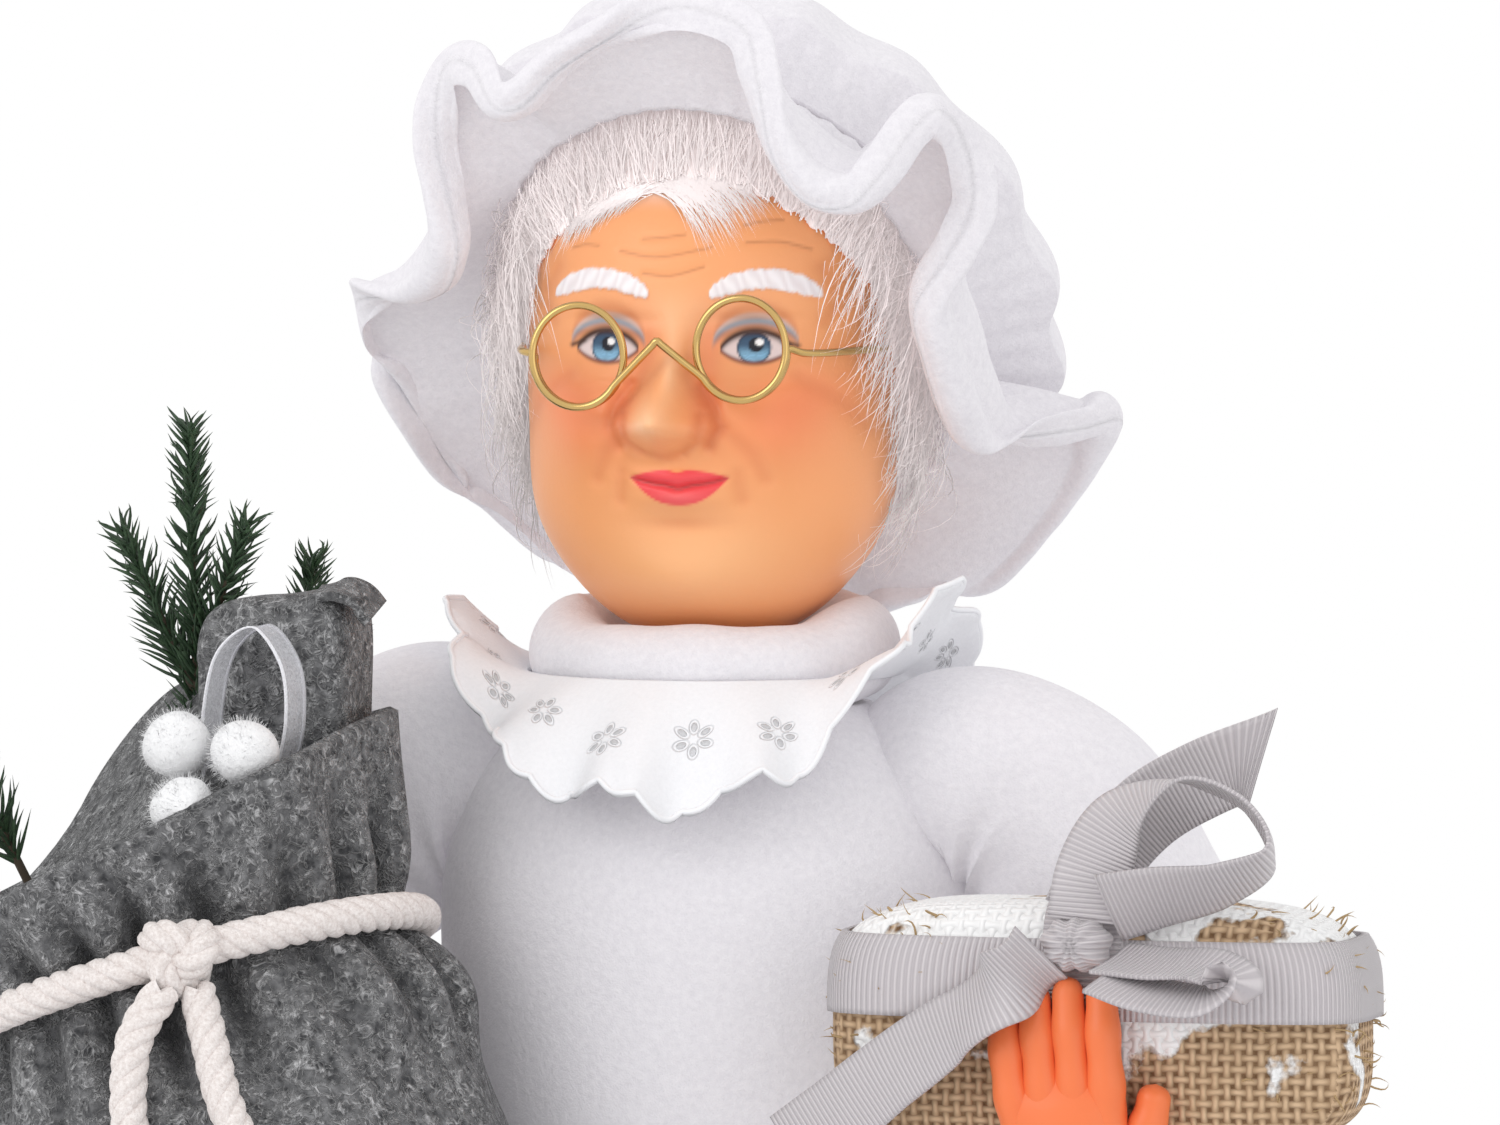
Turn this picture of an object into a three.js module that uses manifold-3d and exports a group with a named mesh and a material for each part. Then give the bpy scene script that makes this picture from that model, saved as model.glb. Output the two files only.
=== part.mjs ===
// A standing grandmother doll in a white fleece mob cap and floor-length dress.
// The right arm carries a filled felt sack and the left hand holds a wrapped gift.
// Millimetres, +Z up. The figure faces -Y, and +X is the figure's own left.
// The origin is the centre of the base plate's underside.
import * as THREE from 'three';
import { mergeVertices } from 'three/addons/utils/BufferGeometryUtils.js';
import Module from 'manifold-3d';

const wasm = await Module();
wasm.setup();

// Clearance between pieces that touch, and the fleece's thickness
const GAP = 0.3;
const CLOTH = 2.6;

// Stand: base disc, dowel and the card cone that holds the skirt out
const BASE_RADIUS = 82;
const BASE_THICK = 12;
const BASE_CHAMFER = 2;
const SOCKET_DEPTH = 7;
const POST_RADIUS = 9;
const PEG_RADIUS = 6.5;
const PEG_LENGTH = 26;
const CARD_THICK = 1.5;
const CONE_SLACK = 2;

// Heights, each counted from the one before
const HEM_LIFT = 3;
const WAIST_Z = 392;
const NECK_RISE = 92;
const SHOULDER_RISE = 79;
const HEAD_RISE = 61;

// Dress
const WAIST_WIDTH = 45;
const WAIST_DEPTH = 39;
const SKIRT_FLARE = 22;
const SKIRT_FOLDS = 11;
const SKIRT_FOLD_DEPTH = 6;
const SHOULDER_X = 46;
const ARMHOLE_RADIUS = 26;

// Bodice outline from waist to neck: share of its height, half width, half depth
const BODICE_SECTIONS = [
  [0, WAIST_WIDTH, WAIST_DEPTH],
  [0.3, WAIST_WIDTH + 4, WAIST_DEPTH + 3],
  [0.55, WAIST_WIDTH + 5, WAIST_DEPTH + 3],
  [0.78, WAIST_WIDTH + 3, WAIST_DEPTH - 2],
  [0.93, WAIST_WIDTH - 5, WAIST_DEPTH - 9],
  [1, WAIST_WIDTH - 16, WAIST_DEPTH - 13],
];

// Neckband and lace collar
const NECKBAND_HEIGHT = 21;
const NECKBAND_WIDTH = 16;
const NECKBAND_SLACK = 2;
const NECKBAND_DIP = 9;
const COLLAR_SEAT = 3;
const COLLAR_REACH = 17;
const COLLAR_FRONT_DROP = 20;
const COLLAR_SIDE_RISE = 5;
const COLLAR_SIDE_SHORT = 4.5;
const COLLAR_THICK = 1.4;
const COLLAR_PLEATS = 12;
const COLLAR_PLEAT_DEPTH = 1.2;

// Head: half sizes, neck stub and the swell of nose, cheeks, chin and lips
const HEAD_HALF_WIDTH = 33;
const HEAD_HALF_DEPTH = 37;
const HEAD_HALF_HEIGHT = 47;
const HEAD_SQUARENESS = 2.25;
const CHIN_DROP = 3.2;
const JAW_FULLNESS = 0.15;
const JAW_TAPER = 0.02;
const HEAD_TURN = 5;
const NECK_RADIUS = 15;
const NECK_SEAT = 2;
const RUN_CLEARANCE = 0.5;

// Face relief: across, up from the head's centre, spread across, spread up, forward swell
const FACE_RELIEF = [
  [0, -9.5, 5.6, 4.8, 10.5],
  [0, -2, 3.8, 8, 5],
  [6.2, -10.5, 3.2, 3, 3.6],
  [-6.2, -10.5, 3.2, 3, 3.6],
  [17, -11, 9, 8, 3.6],
  [-17, -11, 9, 8, 3.6],
  [13.6, 4, 8, 5, -2.6],
  [-13.6, 4, 8, 5, -2.6],
  [0, -20.5, 9, 4.2, 2.2],
  [0, -38, 11, 7, 4],
  [0, 24, 20, 12, 1.5],
];

// Hair: thickness, and the angle from the crown of the wig to its edge, front to nape
const HAIR_SEAT = 3.4;
const HAIR_THICK = 1.4;
const HAIR_TILT = 0.67;
const HAIRLINE = [78, 84, 93, 108, 78];

// Mob cap: place and tilt of its gathering band, crown, and the brim's hem
const CAP_BACK = 6;
const CAP_UP = 7;
const CAP_TILT = 0.6435;
const BAND_HALF_WIDTH = 40.8;
const BAND_HALF_HEIGHT = 50;
const BAND_LENGTH = 5;
const CROWN_PUFF = 19;
const CROWN_DEPTH = 40;
const CROWN_GATHERS = 16;
const GATHER_DEPTH = 1.2;
const HEM_ROLL = 6;
const BRIM_CLOTH = 31;

// Hem of the brim, fold by fold round the cap: angle from the top, radius, forward reach
const BRIM_HEM = [
  [3, 76, 6], [13, 75, 8], [17, 69, 15], [22, 60, 22], [30, 56, 26], [37, 59, 26], [39, 66, 22],
  [40, 72, 14], [42, 76, 10], [49, 71, 8], [56, 65, 12], [59, 58, 18], [64, 48, 22], [76, 45, 24],
  [92, 45, 24], [104, 48, 20], [106, 58, 12], [106, 68, 6], [107, 74, 0], [118, 73, -4],
  [132, 71, -4], [147, 71, -2], [160, 62, 4], [172, 68, 0], [184, 60, 5], [196, 67, 0], [206, 61, 4],
  [217, 67, 0], [230, 64, 0], [243, 65, 2], [252, 55, 8], [261, 61, 2], [272, 66, 0], [284, 62, 4],
  [296, 56, 10], [308, 58, 10], [321, 68, 8], [328, 74, 4], [333, 74, 10], [336, 69, 18],
  [340, 67, 18], [346, 69, 13], [354, 71, 8],
];

// Spectacles: one bent wire
const WIRE_RADIUS = 0.7;
const LENS_HALF_WIDTH = 8.1;
const LENS_HALF_HEIGHT = 9;
const LENS_SPACING = 14.6;
const LENS_SHIFT = -2.5;
const LENS_UP = 3.2;
const RIM_TILT = 0.7;
const LENS_FORWARD = 3.4;
const BRIDGE_RISE = 4;
const TEMPLE_SPREAD = 10.7;
const TEMPLE_END_Y = -9.5;
const TEMPLE_BEND = 12;
const HINGE_BEND = 2.5;
const RIM_TURN = 505;
const RIM_LEAD = 2.4;
const BRIDGE_FORWARD = 1.5;

// Arms: wire, and for each side the way from the shoulder to the wrist with the sleeve's radius
const ARM_WIRE_RADIUS = 2.2;
const ARM_WIRE_STANDOFF = 6;
const LEFT_ARM = [
  [0, 0, 0, 22], [15, 0, -5, 22], [32, -2, -31, 22.8], [44, -8, -62, 23],
  [52, -24, -88, 21], [51, -48, -100, 18], [47, -66, -99, 16], [40.5, -73, -88, 14.5], [39.5, -73.5, -79, 14],
];
const RIGHT_ARM = [
  [0, 0, 0, 22], [-16, 0, -5, 24], [-38, 3, -30, 24], [-54, 8, -64, 23],
  [-60, 6, -104, 22], [-50, -18, -136, 19], [-28, -50, -149, 15.5], [-12, -68, -151, 14],
];
const CUFF_LENGTH = 9;
const CUFF_SWELL = 2.4;

// Hands
const PALM_LENGTH = 22;
const PALM_HALF_WIDTH = 11;
const PALM_HALF_THICK = 6;
const WRIST_RADIUS = 9.5;
const FINGER_RADIUS = 3.2;
const FINGER_LENGTH = 19;
const FINGER_SPREAD = 5.8;
const FINGER_SHARES = [0.82, 1, 0.95, 0.76];
const FINGER_CURL = 0.7;
const THUMB_RADIUS = 3.7;
const THUMB_ROUTE = [[6, 1, 4], [12.5, 1.5, 10.5], [16, 2, 19]];

// Gift: place of its centre from the left shoulder, half sizes, ribbon
const GIFT_FROM_SHOULDER = [39, -54, -38.5];
const GIFT_HALF_LENGTH = 47;
const GIFT_HALF_DEPTH = 17;
const GIFT_HALF_HEIGHT = 22;
const GIFT_SQUARENESS = 4.2;
const RIBBON_UP = 9;
const RIBBON_WIDTH = 14;
const RIBBON_THICK = 1;
const KNOT_RADIUS = 6;
const KNOT_HEIGHT = 4.5;
const KNOT_UP = 15.5;

// Bow: the way each ribbon takes from the knot's middle, and how the side of its width turns on the way
const BOW = {
  bow_loop_upper: {
    route: [
      [2, 0, 4], [3, 1, 13], [8, 2, 23], [18, 3, 28], [29, 2, 24.5],
      [34, 0, 16], [26, -1.5, 11], [14, -2, 8.5], [6, -1.5, 6.5],
    ],
    facing: [[1, 0.1, -0.2], [0.2, -1, 0.2], [0, -0.5, 0.85]],
  },
  bow_loop_side: {
    route: [
      [6.5, -3, -2], [16, -6, -2.5], [25, -8, -2.5], [30, -10, -5],
      [26, -12, -8], [16, -11.5, -7.5], [7, -9, -5],
    ],
    facing: [[0.2, 1, 0.3]],
  },
  bow_tail_long: {
    route: [
      [-5, -5, -1], [-12, -6, -7.5], [-22, -3, -15], [-33, -1, -23], [-43, 0, -31], [-51, 0.5, -37],
    ],
    facing: [[0.6, 0, 0.8]],
  },
  bow_tail_short: {
    route: [[-1, 5, 4], [2, 10, 13], [9, 15, 22], [19, 17, 28], [29, 18, 32]],
    facing: [[-0.5, -0.3, 0.8]],
  },
};

// Sack: place of its neck from the right shoulder, lean, half width against height along its axis
const SACK_FROM_SHOULDER = [-34, -63, -34];
const SACK_LEAN = [-0.3, 0.12, 0.95];
const SACK_DEPTH_SHARE = 0.87;
const FELT_THICK = 2.2;
const SACK_NECK_RADIUS = 38;
const SACK_PROFILE = [
  [-104, 26], [-96, 38], [-80, 46], [-55, 50], [-32, 47.5], [-8, 40],
  [0, SACK_NECK_RADIUS], [10, 41], [21, 45], [28, 47],
];
const SACK_RIM_SIDE = 7;
const SACK_RIM_FRONT = 8;
const SACK_GATHERS = 14;
const SACK_GATHER_DEPTH = 1.3;
const FILLING_TOP = 21;

// Heap of the filling above its edge: height along the sack's axis, share of the edge's radius
const FILLING_HEAP = [[31, 0.75], [39, 0.4]];

// Cotton cord of the sack and its two free tails
const CORD_RADIUS = 3.4;
const KNOT_ANGLE = 0.26;
const KNOT_HALF = [6.5, 5.5, 5.5];
const TAIL_FRONT = [
  [3.1, -0.8, -6.4], [5.9, -3.5, -14], [9.4, -6.6, -24], [14.6, -8.5, -35], [18, -8.8, -47], [19.2, -9.1, -60],
];
const TAIL_SIDE = [
  [-2, -4.2, -6], [-6, -7.6, -14], [-6.9, -9.1, -24],
  [-5.6, -10.9, -34], [-4.8, -11.5, -44], [-4.7, -11.8, -54],
];

// What stands in the sack, from the middle of its neck
const PARCEL_AT = [16, 8, 43.5];
const PARCEL_HALF = [14.5, 11, 25];
const ORGANZA_WIDTH = 7;
const ORGANZA_LOOP = [
  [9.7, -7.5, 22], [7.7, -7.8, 36], [7.7, -8, 49], [10.7, -8.4, 59.5],
  [16.7, -8.6, 63.5], [21.7, -8.2, 57.5], [22.7, -7.8, 47], [19.7, -7.5, 34],
];
const POMPOM_RADIUS = 6.2;
const POMPOMS = [[17, -20, 42], [4, -17.5, 43], [8, -26, 32.2]];
const SPRIGS = [
  { at: [0, 10, 18], lean: [-0.03, 0, 1], length: 79 },
  { at: [-22, -7, 8], lean: [-0.42, -0.28, 1], length: 72 },
  { at: [9, 21.5, 18], lean: [0.12, 0.1, 1], length: 56 },
];
const SPRIG_STEM_RADIUS = 1.2;
const NEEDLE_LENGTH = 11;
const NEEDLE_WIDTH = 1.7;
const NEEDLE_COUNT = 10;
const NEEDLE_TURN = 2.4;
const NEEDLE_START = 0.6;

// Facet counts
const BODY_SIDES = 28;
const TORSO_SIDES = 20;
const LIMB_SIDES = 12;
const WIRE_SIDES = 6;
const CORD_SIDES = 8;

// Heights worked out from the driving dimensions
const NECK_Z = WAIST_Z + NECK_RISE;
const SHOULDER_Z = WAIST_Z + SHOULDER_RISE;
const HEAD_Z = NECK_Z + HEAD_RISE;
const SEAT_Z = NECK_Z + NECK_SEAT;

const vec = (x, y, z) => new THREE.Vector3(x, y, z);
const lerp = THREE.MathUtils.lerp;
const smoothstep = THREE.MathUtils.smoothstep;

// Geometry helpers

// Drops all but position, joins shared corners and turns the faces outwards.
function clean(source) {
  const bare = source.index ? source.clone() : mergeVertices(source);
  bare.deleteAttribute('normal');
  bare.deleteAttribute('uv');
  const geometry = mergeVertices(bare, 1e-4);
  if (signedVolume(geometry) < 0) {
    flip(geometry);
  }
  return geometry;
}

function signedVolume(geometry) {
  const place = geometry.attributes.position;
  const index = geometry.index.array;
  const corners = [vec(0, 0, 0), vec(0, 0, 0), vec(0, 0, 0)];
  let volume = 0;
  for (let i = 0; i < index.length; i += 3) {
    corners.forEach((corner, k) => corner.fromBufferAttribute(place, index[i + k]));
    volume += corners[0].dot(corners[1].clone().cross(corners[2]));
  }
  return volume / 6;
}

function flip(geometry) {
  const index = geometry.index.array;
  for (let i = 0; i < index.length; i += 3) {
    const keep = index[i];
    index[i] = index[i + 1];
    index[i + 1] = keep;
  }
}

// Skin through rings of points with equal counts. A wrapped skin joins its last ring to its first,
// as a tube wall does; any other is closed by a fan at each end.
function skin(rings, wrap = false) {
  const sides = rings[0].length;
  const points = rings.flat();
  const index = [];
  const spans = wrap ? rings.length : rings.length - 1;
  for (let i = 0; i < spans; i += 1) {
    const low = i * sides;
    const high = ((i + 1) % rings.length) * sides;
    for (let j = 0; j < sides; j += 1) {
      const next = (j + 1) % sides;
      index.push(low + j, low + next, high + next, low + j, high + next, high + j);
    }
  }
  if (!wrap) {
    const ends = [[rings[0], 0, true], [rings.at(-1), (rings.length - 1) * sides, false]];
    for (const [ring, start, turn] of ends) {
      const middle = ring.reduce((sum, point) => sum.add(point), vec(0, 0, 0)).divideScalar(sides);
      points.push(middle);
      for (let j = 0; j < sides; j += 1) {
        const pair = [start + j, start + (j + 1) % sides];
        index.push(points.length - 1, ...(turn ? pair.reverse() : pair));
      }
    }
  }
  const geometry = new THREE.BufferGeometry().setFromPoints(points);
  geometry.setIndex(index);
  return clean(geometry);
}

// A wall between an outer and an inner set of rings, open at both ends
const tubeWall = (outer, inner) => skin([...outer, ...inner.slice().reverse()], true);

// A bowl wall: both sets of rings start near the pole and end at the rim
const bowlWall = (outer, inner) => skin([...outer, ...inner.slice().reverse()]);

// Ring of points, with the angle counted from the front (-Y) towards +X
const ringOf = (sides, place) => Array.from({ length: sides }, (_, j) => place((j / sides) * 2 * Math.PI));

const steps = (count) => Array.from({ length: count + 1 }, (_, i) => i / count);

const lathe = (profile, sides = BODY_SIDES) => {
  const outline = profile.map(([radius, z]) => new THREE.Vector2(radius, z));
  return clean(new THREE.LatheGeometry(outline, sides).rotateX(Math.PI / 2));
};

const pillar = (radius, low, high, sides = LIMB_SIDES * 2) =>
  lathe([[0, low], [radius, low], [radius, high], [0, high]], sides);

function roundShape(radius, sides) {
  const corner = (angle) => new THREE.Vector2(radius * Math.cos(angle), radius * Math.sin(angle));
  return new THREE.Shape(ringOf(sides, corner));
}

// Round bar along a smooth curve through the points
function bar(points, radius, count, sides = WIRE_SIDES) {
  const extrudePath = new THREE.CatmullRomCurve3(points, false, 'centripetal');
  return clean(new THREE.ExtrudeGeometry(roundShape(radius, sides), { extrudePath, steps: count }));
}

const barAlongX = (fromX, toX, z, radius, sides = WIRE_SIDES) =>
  clean(new THREE.CylinderGeometry(radius, radius, Math.abs(toX - fromX), sides)
    .rotateZ(Math.PI / 2).translate((fromX + toX) / 2, 0, z));

function toSolid(geometry) {
  const ready = clean(geometry);
  const vertProperties = new Float32Array(ready.attributes.position.array);
  const triVerts = new Uint32Array(ready.index.array);
  return new wasm.Manifold(new wasm.Mesh({ numProp: 3, vertProperties, triVerts }));
}

// The largest body of a solid, so that no loose sliver of a cut is kept
function toGeometry(solid) {
  const bodies = solid.decompose().map((body) => {
    const mesh = body.getMesh();
    const geometry = new THREE.BufferGeometry();
    geometry.setAttribute('position', new THREE.BufferAttribute(new Float32Array(mesh.vertProperties), 3));
    geometry.setIndex(new THREE.BufferAttribute(new Uint32Array(mesh.triVerts), 1));
    return geometry;
  });
  return bodies.sort((a, b) => signedVolume(b) - signedVolume(a))[0];
}

const cut = (piece, ...tools) =>
  toGeometry(tools.reduce((solid, tool) => solid.subtract(toSolid(tool)), toSolid(piece)));
const join = (first, ...others) =>
  toGeometry(others.reduce((solid, piece) => solid.add(toSolid(piece)), toSolid(first)));
const common = (piece, tool) => toGeometry(toSolid(piece).intersect(toSolid(tool)));

// Limb with a round section that swells along a smooth path; a rounded end closes in two more rings
function limb(points, radii, count, sides, options = {}) {
  const path = smoothPath(points);
  const swell = new THREE.CatmullRomCurve3(radii.map((radius) => vec(radius, 0, 0)));
  const rings = [];
  let across = options.across ?? vec(0, 0, 1);
  const addRing = (middle, along, radius) => {
    across = across.clone().addScaledVector(along, -across.dot(along)).normalize();
    const other = along.clone().cross(across);
    rings.push(ringOf(sides, (angle) => middle.clone()
      .addScaledVector(across, radius * Math.cos(angle)).addScaledVector(other, radius * Math.sin(angle))));
  };
  for (const share of steps(count)) {
    const along = share === 0 && options.start ? options.start : path.getTangent(share);
    addRing(path.getPoint(share), along, swell.getPoint(share).x + (options.grow ?? 0));
  }
  if (options.round) {
    const along = path.getTangent(1);
    const radius = radii.at(-1) + (options.grow ?? 0);
    for (const lean of [0.5, 0.85]) {
      const middle = path.getPoint(1).addScaledVector(along, radius * lean);
      addRing(middle, along, radius * Math.sqrt(1 - lean * lean));
    }
  }
  return skin(rings);
}

const smoothPath = (points) => new THREE.CatmullRomCurve3(points, false, 'centripetal');

// Ball with squared-off shoulders: half sizes along x, y, z and the power of its outline
function lump(half, power, sides, count, grow = 0) {
  const rings = steps(count).slice(1, -1).map((share) => {
    const up = (share - 0.5) * Math.PI;
    return ringOf(sides, (angle) => {
      const dir = vec(Math.sin(angle) * Math.cos(up), -Math.cos(angle) * Math.cos(up), Math.sin(up));
      return dir.multiplyScalar(outlineRadius(dir, half.map((size) => size + grow), power));
    });
  });
  return skin(rings);
}

function outlineRadius(dir, half, power) {
  const shares = dir.toArray().map((part, i) => Math.abs(part / half[i]) ** power);
  return (shares[0] + shares[1] + shares[2]) ** (-1 / power);
}

// A direction that turns evenly through the ones given
function turning(directions, share) {
  const place = share * (directions.length - 1);
  const key = Math.min(Math.floor(place), Math.max(directions.length - 2, 0));
  const next = directions[Math.min(key + 1, directions.length - 1)];
  return vec(...directions[key]).lerp(vec(...next), place - key);
}

// Flat ribbon along a smooth path, with its width turned towards the directions given
function ribbon(points, facing, width, thick, count) {
  const path = smoothPath(points.map((point) => vec(...point)));
  const rings = steps(count).map((share) => {
    const along = path.getTangent(share);
    const side = turning(facing, share);
    const wide = side.addScaledVector(along, -side.dot(along)).setLength(width / 2);
    const deep = along.clone().cross(wide).setLength(thick / 2);
    const middle = path.getPoint(share);
    return [[1, 1], [-1, 1], [-1, -1], [1, -1]].map(([a, b]) =>
      middle.clone().addScaledVector(wide, a).addScaledVector(deep, b));
  });
  return skin(rings);
}

// Stand

function basePlate() {
  const socket = POST_RADIUS + GAP;
  return lathe([
    [0, 0], [BASE_RADIUS - BASE_CHAMFER, 0], [BASE_RADIUS, BASE_CHAMFER],
    [BASE_RADIUS, BASE_THICK - BASE_CHAMFER], [BASE_RADIUS - BASE_CHAMFER, BASE_THICK],
    [socket, BASE_THICK], [socket, BASE_THICK - SOCKET_DEPTH], [0, BASE_THICK - SOCKET_DEPTH],
  ]);
}

// One dowel from the base to the head; its shoulder carries the head and its peg is the pivot
function centrePost() {
  const foot = BASE_THICK - SOCKET_DEPTH + GAP;
  return lathe([
    [0, foot], [POST_RADIUS, foot], [POST_RADIUS, SEAT_Z], [PEG_RADIUS, SEAT_Z],
    [PEG_RADIUS, SEAT_Z + PEG_LENGTH], [0, SEAT_Z + PEG_LENGTH],
  ], LIMB_SIDES);
}

function skirtCone() {
  const wide = BASE_RADIUS - BASE_CHAMFER;
  const narrow = Math.min(WAIST_WIDTH, WAIST_DEPTH) - CLOTH - CONE_SLACK;
  const foot = BASE_THICK + GAP;
  const top = WAIST_Z - GAP;
  const inside = [wide - CARD_THICK, foot];
  return lathe([inside, [wide, foot], [narrow, top], [narrow - CARD_THICK, top], inside]);
}

// Dress

function skirtRing(share, grow) {
  const z = lerp(HEM_LIFT, WAIST_Z - GAP / 2, share);
  const fold = SKIRT_FOLD_DEPTH * (1 - share) ** 1.2;
  const hem = BASE_RADIUS + SKIRT_FLARE;
  const width = lerp(hem, WAIST_WIDTH, share) + grow;
  const depth = lerp(hem, WAIST_DEPTH, share) + grow;
  return ringOf(SKIRT_FOLDS * 4, (angle) => {
    const swell = fold * Math.cos(SKIRT_FOLDS * angle + Math.sin(2 * angle));
    return vec((width + swell) * Math.sin(angle), -(depth + swell) * Math.cos(angle), z);
  });
}

const skirtRings = (grow) => steps(3).map((share) => skirtRing(share, grow));

const BODICE_CURVE = new THREE.CatmullRomCurve3(BODICE_SECTIONS.map((section) => vec(...section)));

function torsoRings(grow, lift = 0) {
  return steps(6).map((along) => {
    const section = BODICE_CURVE.getPoint(along);
    const z = WAIST_Z + GAP / 2 + lift + section.x * (NECK_RISE - 2 * lift);
    return ringOf(TORSO_SIDES, (angle) =>
      vec((section.y + grow) * Math.sin(angle), -(section.z + grow) * Math.cos(angle), z));
  });
}

// Room for an arm: the round armhole beyond the shoulder's flat face and the bore for its wire
function armRoom(side) {
  const face = side * (SHOULDER_X - GAP);
  const beyond = side * (SHOULDER_X + ARMHOLE_RADIUS);
  const boreEnd = side * (POST_RADIUS + ARM_WIRE_STANDOFF - GAP);
  return [
    barAlongX(face, beyond, SHOULDER_Z, ARMHOLE_RADIUS, LIMB_SIDES * 2),
    barAlongX(boreEnd, side * SHOULDER_X, SHOULDER_Z, ARM_WIRE_RADIUS + 2 * GAP, LIMB_SIDES),
  ];
}

const dressBodice = () => cut(tubeWall(torsoRings(0), torsoRings(-CLOTH)), ...armRoom(1), ...armRoom(-1));

function bodyCore() {
  const radius = POST_RADIUS + GAP;
  const bore = pillar(radius, WAIST_Z - GAP, NECK_Z + GAP, BODY_SIDES);
  return cut(skin(torsoRings(-CLOTH - GAP, GAP)), bore, ...armRoom(1), ...armRoom(-1));
}

const NECKBAND_MIDDLE = NECK_RADIUS + RUN_CLEARANCE + NECKBAND_SLACK + NECKBAND_WIDTH / 2;
const NECKBAND_FOOT = NECK_Z + 2 * GAP;
const neckbandHalf = (turn) =>
  (NECKBAND_HEIGHT - NECKBAND_DIP * smoothstep(Math.cos(turn), -0.1, 0.75)) / 2;

// Room in which the turning head runs: the widest reach of its lower half at each height
function chinRoom() {
  const profile = steps(7).map((share) => {
    const ring = headRing(lerp(-1.45, 0, share), RUN_CLEARANCE);
    const reach = Math.max(...ring.map((point) => Math.hypot(point.x, point.y)));
    return [reach, Math.min(...ring.map((point) => point.z))];
  });
  return lathe([[0, profile[0][1]], ...profile, [0, HEAD_Z]], BODY_SIDES);
}

// Neckband: a thick roll of fleece that the chin sinks into, lower at the front under the chin
function neckband() {
  const sections = ringOf(BODY_SIDES, (turn) => {
    return ringOf(12, (angle) => {
      const radius = NECKBAND_MIDDLE + (NECKBAND_WIDTH / 2) * Math.cos(angle);
      const z = NECKBAND_FOOT + neckbandHalf(turn) * (1 + Math.sin(angle));
      return vec(radius * Math.sin(turn), -radius * Math.cos(turn), z);
    });
  });
  return cut(skin(sections, true), chinRoom());
}

// Collar: a lace ring that leans on the neckband, falls at front and back and rides up over the shoulders
function collarRings(lift) {
  const seat = NECK_Z + COLLAR_SEAT;
  return steps(3).map((share) => ringOf(COLLAR_PLEATS * 3, (angle) => {
    const edge = COLLAR_SIDE_RISE - (COLLAR_SIDE_RISE + COLLAR_FRONT_DROP) * Math.cos(angle) ** 2;
    const pleat = COLLAR_PLEAT_DEPTH * share * Math.cos(COLLAR_PLEATS * angle);
    const sunk = 1 - (seat - NECKBAND_FOOT) / neckbandHalf(angle);
    const inner = NECKBAND_MIDDLE + (NECKBAND_WIDTH / 2) * Math.sqrt(1 - sunk * sunk) + 4 * GAP;
    const reach = COLLAR_REACH - COLLAR_SIDE_SHORT * Math.sin(angle) ** 2;
    const radius = inner + share * (reach + pleat);
    const height = seat + edge * share ** 1.2 + pleat + lift;
    return vec(radius * Math.sin(angle), -radius * Math.cos(angle), height);
  }));
}

const laceCollar = () => tubeWall(collarRings(COLLAR_THICK), collarRings(0));

// Head

// Swell of the face at a place across and up from the head's centre
const relief = (x, z) => FACE_RELIEF.reduce((sum, [across, up, wide, tall, swell]) =>
  sum + swell * Math.exp(-(((x - across) / wide) ** 2) - ((z - up) / tall) ** 2), 0);

// Point of the head's skin in a direction from its centre
function headPoint(dir, grow = 0) {
  const half = [HEAD_HALF_WIDTH, HEAD_HALF_DEPTH, HEAD_HALF_HEIGHT + (dir.z < 0 ? CHIN_DROP : 0)];
  const power = HEAD_SQUARENESS + JAW_FULLNESS * smoothstep(-dir.z, 0.2, 0.7);
  const point = dir.clone().multiplyScalar(outlineRadius(dir, half, power) + grow);
  point.x *= 1 - JAW_TAPER * smoothstep(-dir.z, 0.1, 1);
  point.y -= relief(point.x, point.z) * smoothstep(-dir.y, 0.1, 0.6);
  return onHead(point);
}

// A place counted from the middle of the head, which looks a little to the figure's left
const onHead = (point) =>
  point.applyAxisAngle(vec(0, 0, 1), THREE.MathUtils.degToRad(HEAD_TURN)).add(vec(0, 0, HEAD_Z));

const headRing = (up, grow) => ringOf(BODY_SIDES, (angle) =>
  headPoint(vec(Math.sin(angle) * Math.cos(up), -Math.cos(angle) * Math.cos(up), Math.sin(up)), grow));

const headForm = () =>
  skin(steps(19).slice(1, -1).map((share) => headRing((share - 0.5) * Math.PI, 0)));

function headShell() {
  const foot = SEAT_Z + GAP;
  const stubTop = HEAD_Z - HEAD_HALF_HEIGHT / 2;
  const boreTop = SEAT_Z + PEG_LENGTH + RUN_CLEARANCE;
  const bore = PEG_RADIUS + RUN_CLEARANCE;
  return cut(join(headForm(), pillar(NECK_RADIUS, foot, stubTop)), pillar(bore, foot - GAP, boreTop));
}

// Wig: a cap of hair round an axis that leans back, from its crown to the hairline
function hairline(turn) {
  const place = (Math.abs(turn) / Math.PI) * (HAIRLINE.length - 1);
  const key = Math.min(Math.floor(place), HAIRLINE.length - 2);
  return THREE.MathUtils.degToRad(lerp(HAIRLINE[key], HAIRLINE[key + 1], smoothstep(place - key, 0, 1)));
}

function wigRings(grow) {
  const crown = vec(0, Math.sin(HAIR_TILT), Math.cos(HAIR_TILT));
  const front = vec(0, -Math.cos(HAIR_TILT), Math.sin(HAIR_TILT));
  return steps(5).map((share) => ringOf(TORSO_SIDES, (angle) => {
    const turn = angle > Math.PI ? angle - 2 * Math.PI : angle;
    const spread = hairline(turn) * lerp(0.05, 1, share);
    const dir = crown.clone().multiplyScalar(Math.cos(spread))
      .addScaledVector(front, Math.sin(spread) * Math.cos(turn))
      .addScaledVector(vec(1, 0, 0), Math.sin(spread) * Math.sin(turn));
    return headPoint(dir, grow);
  }));
}

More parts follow.
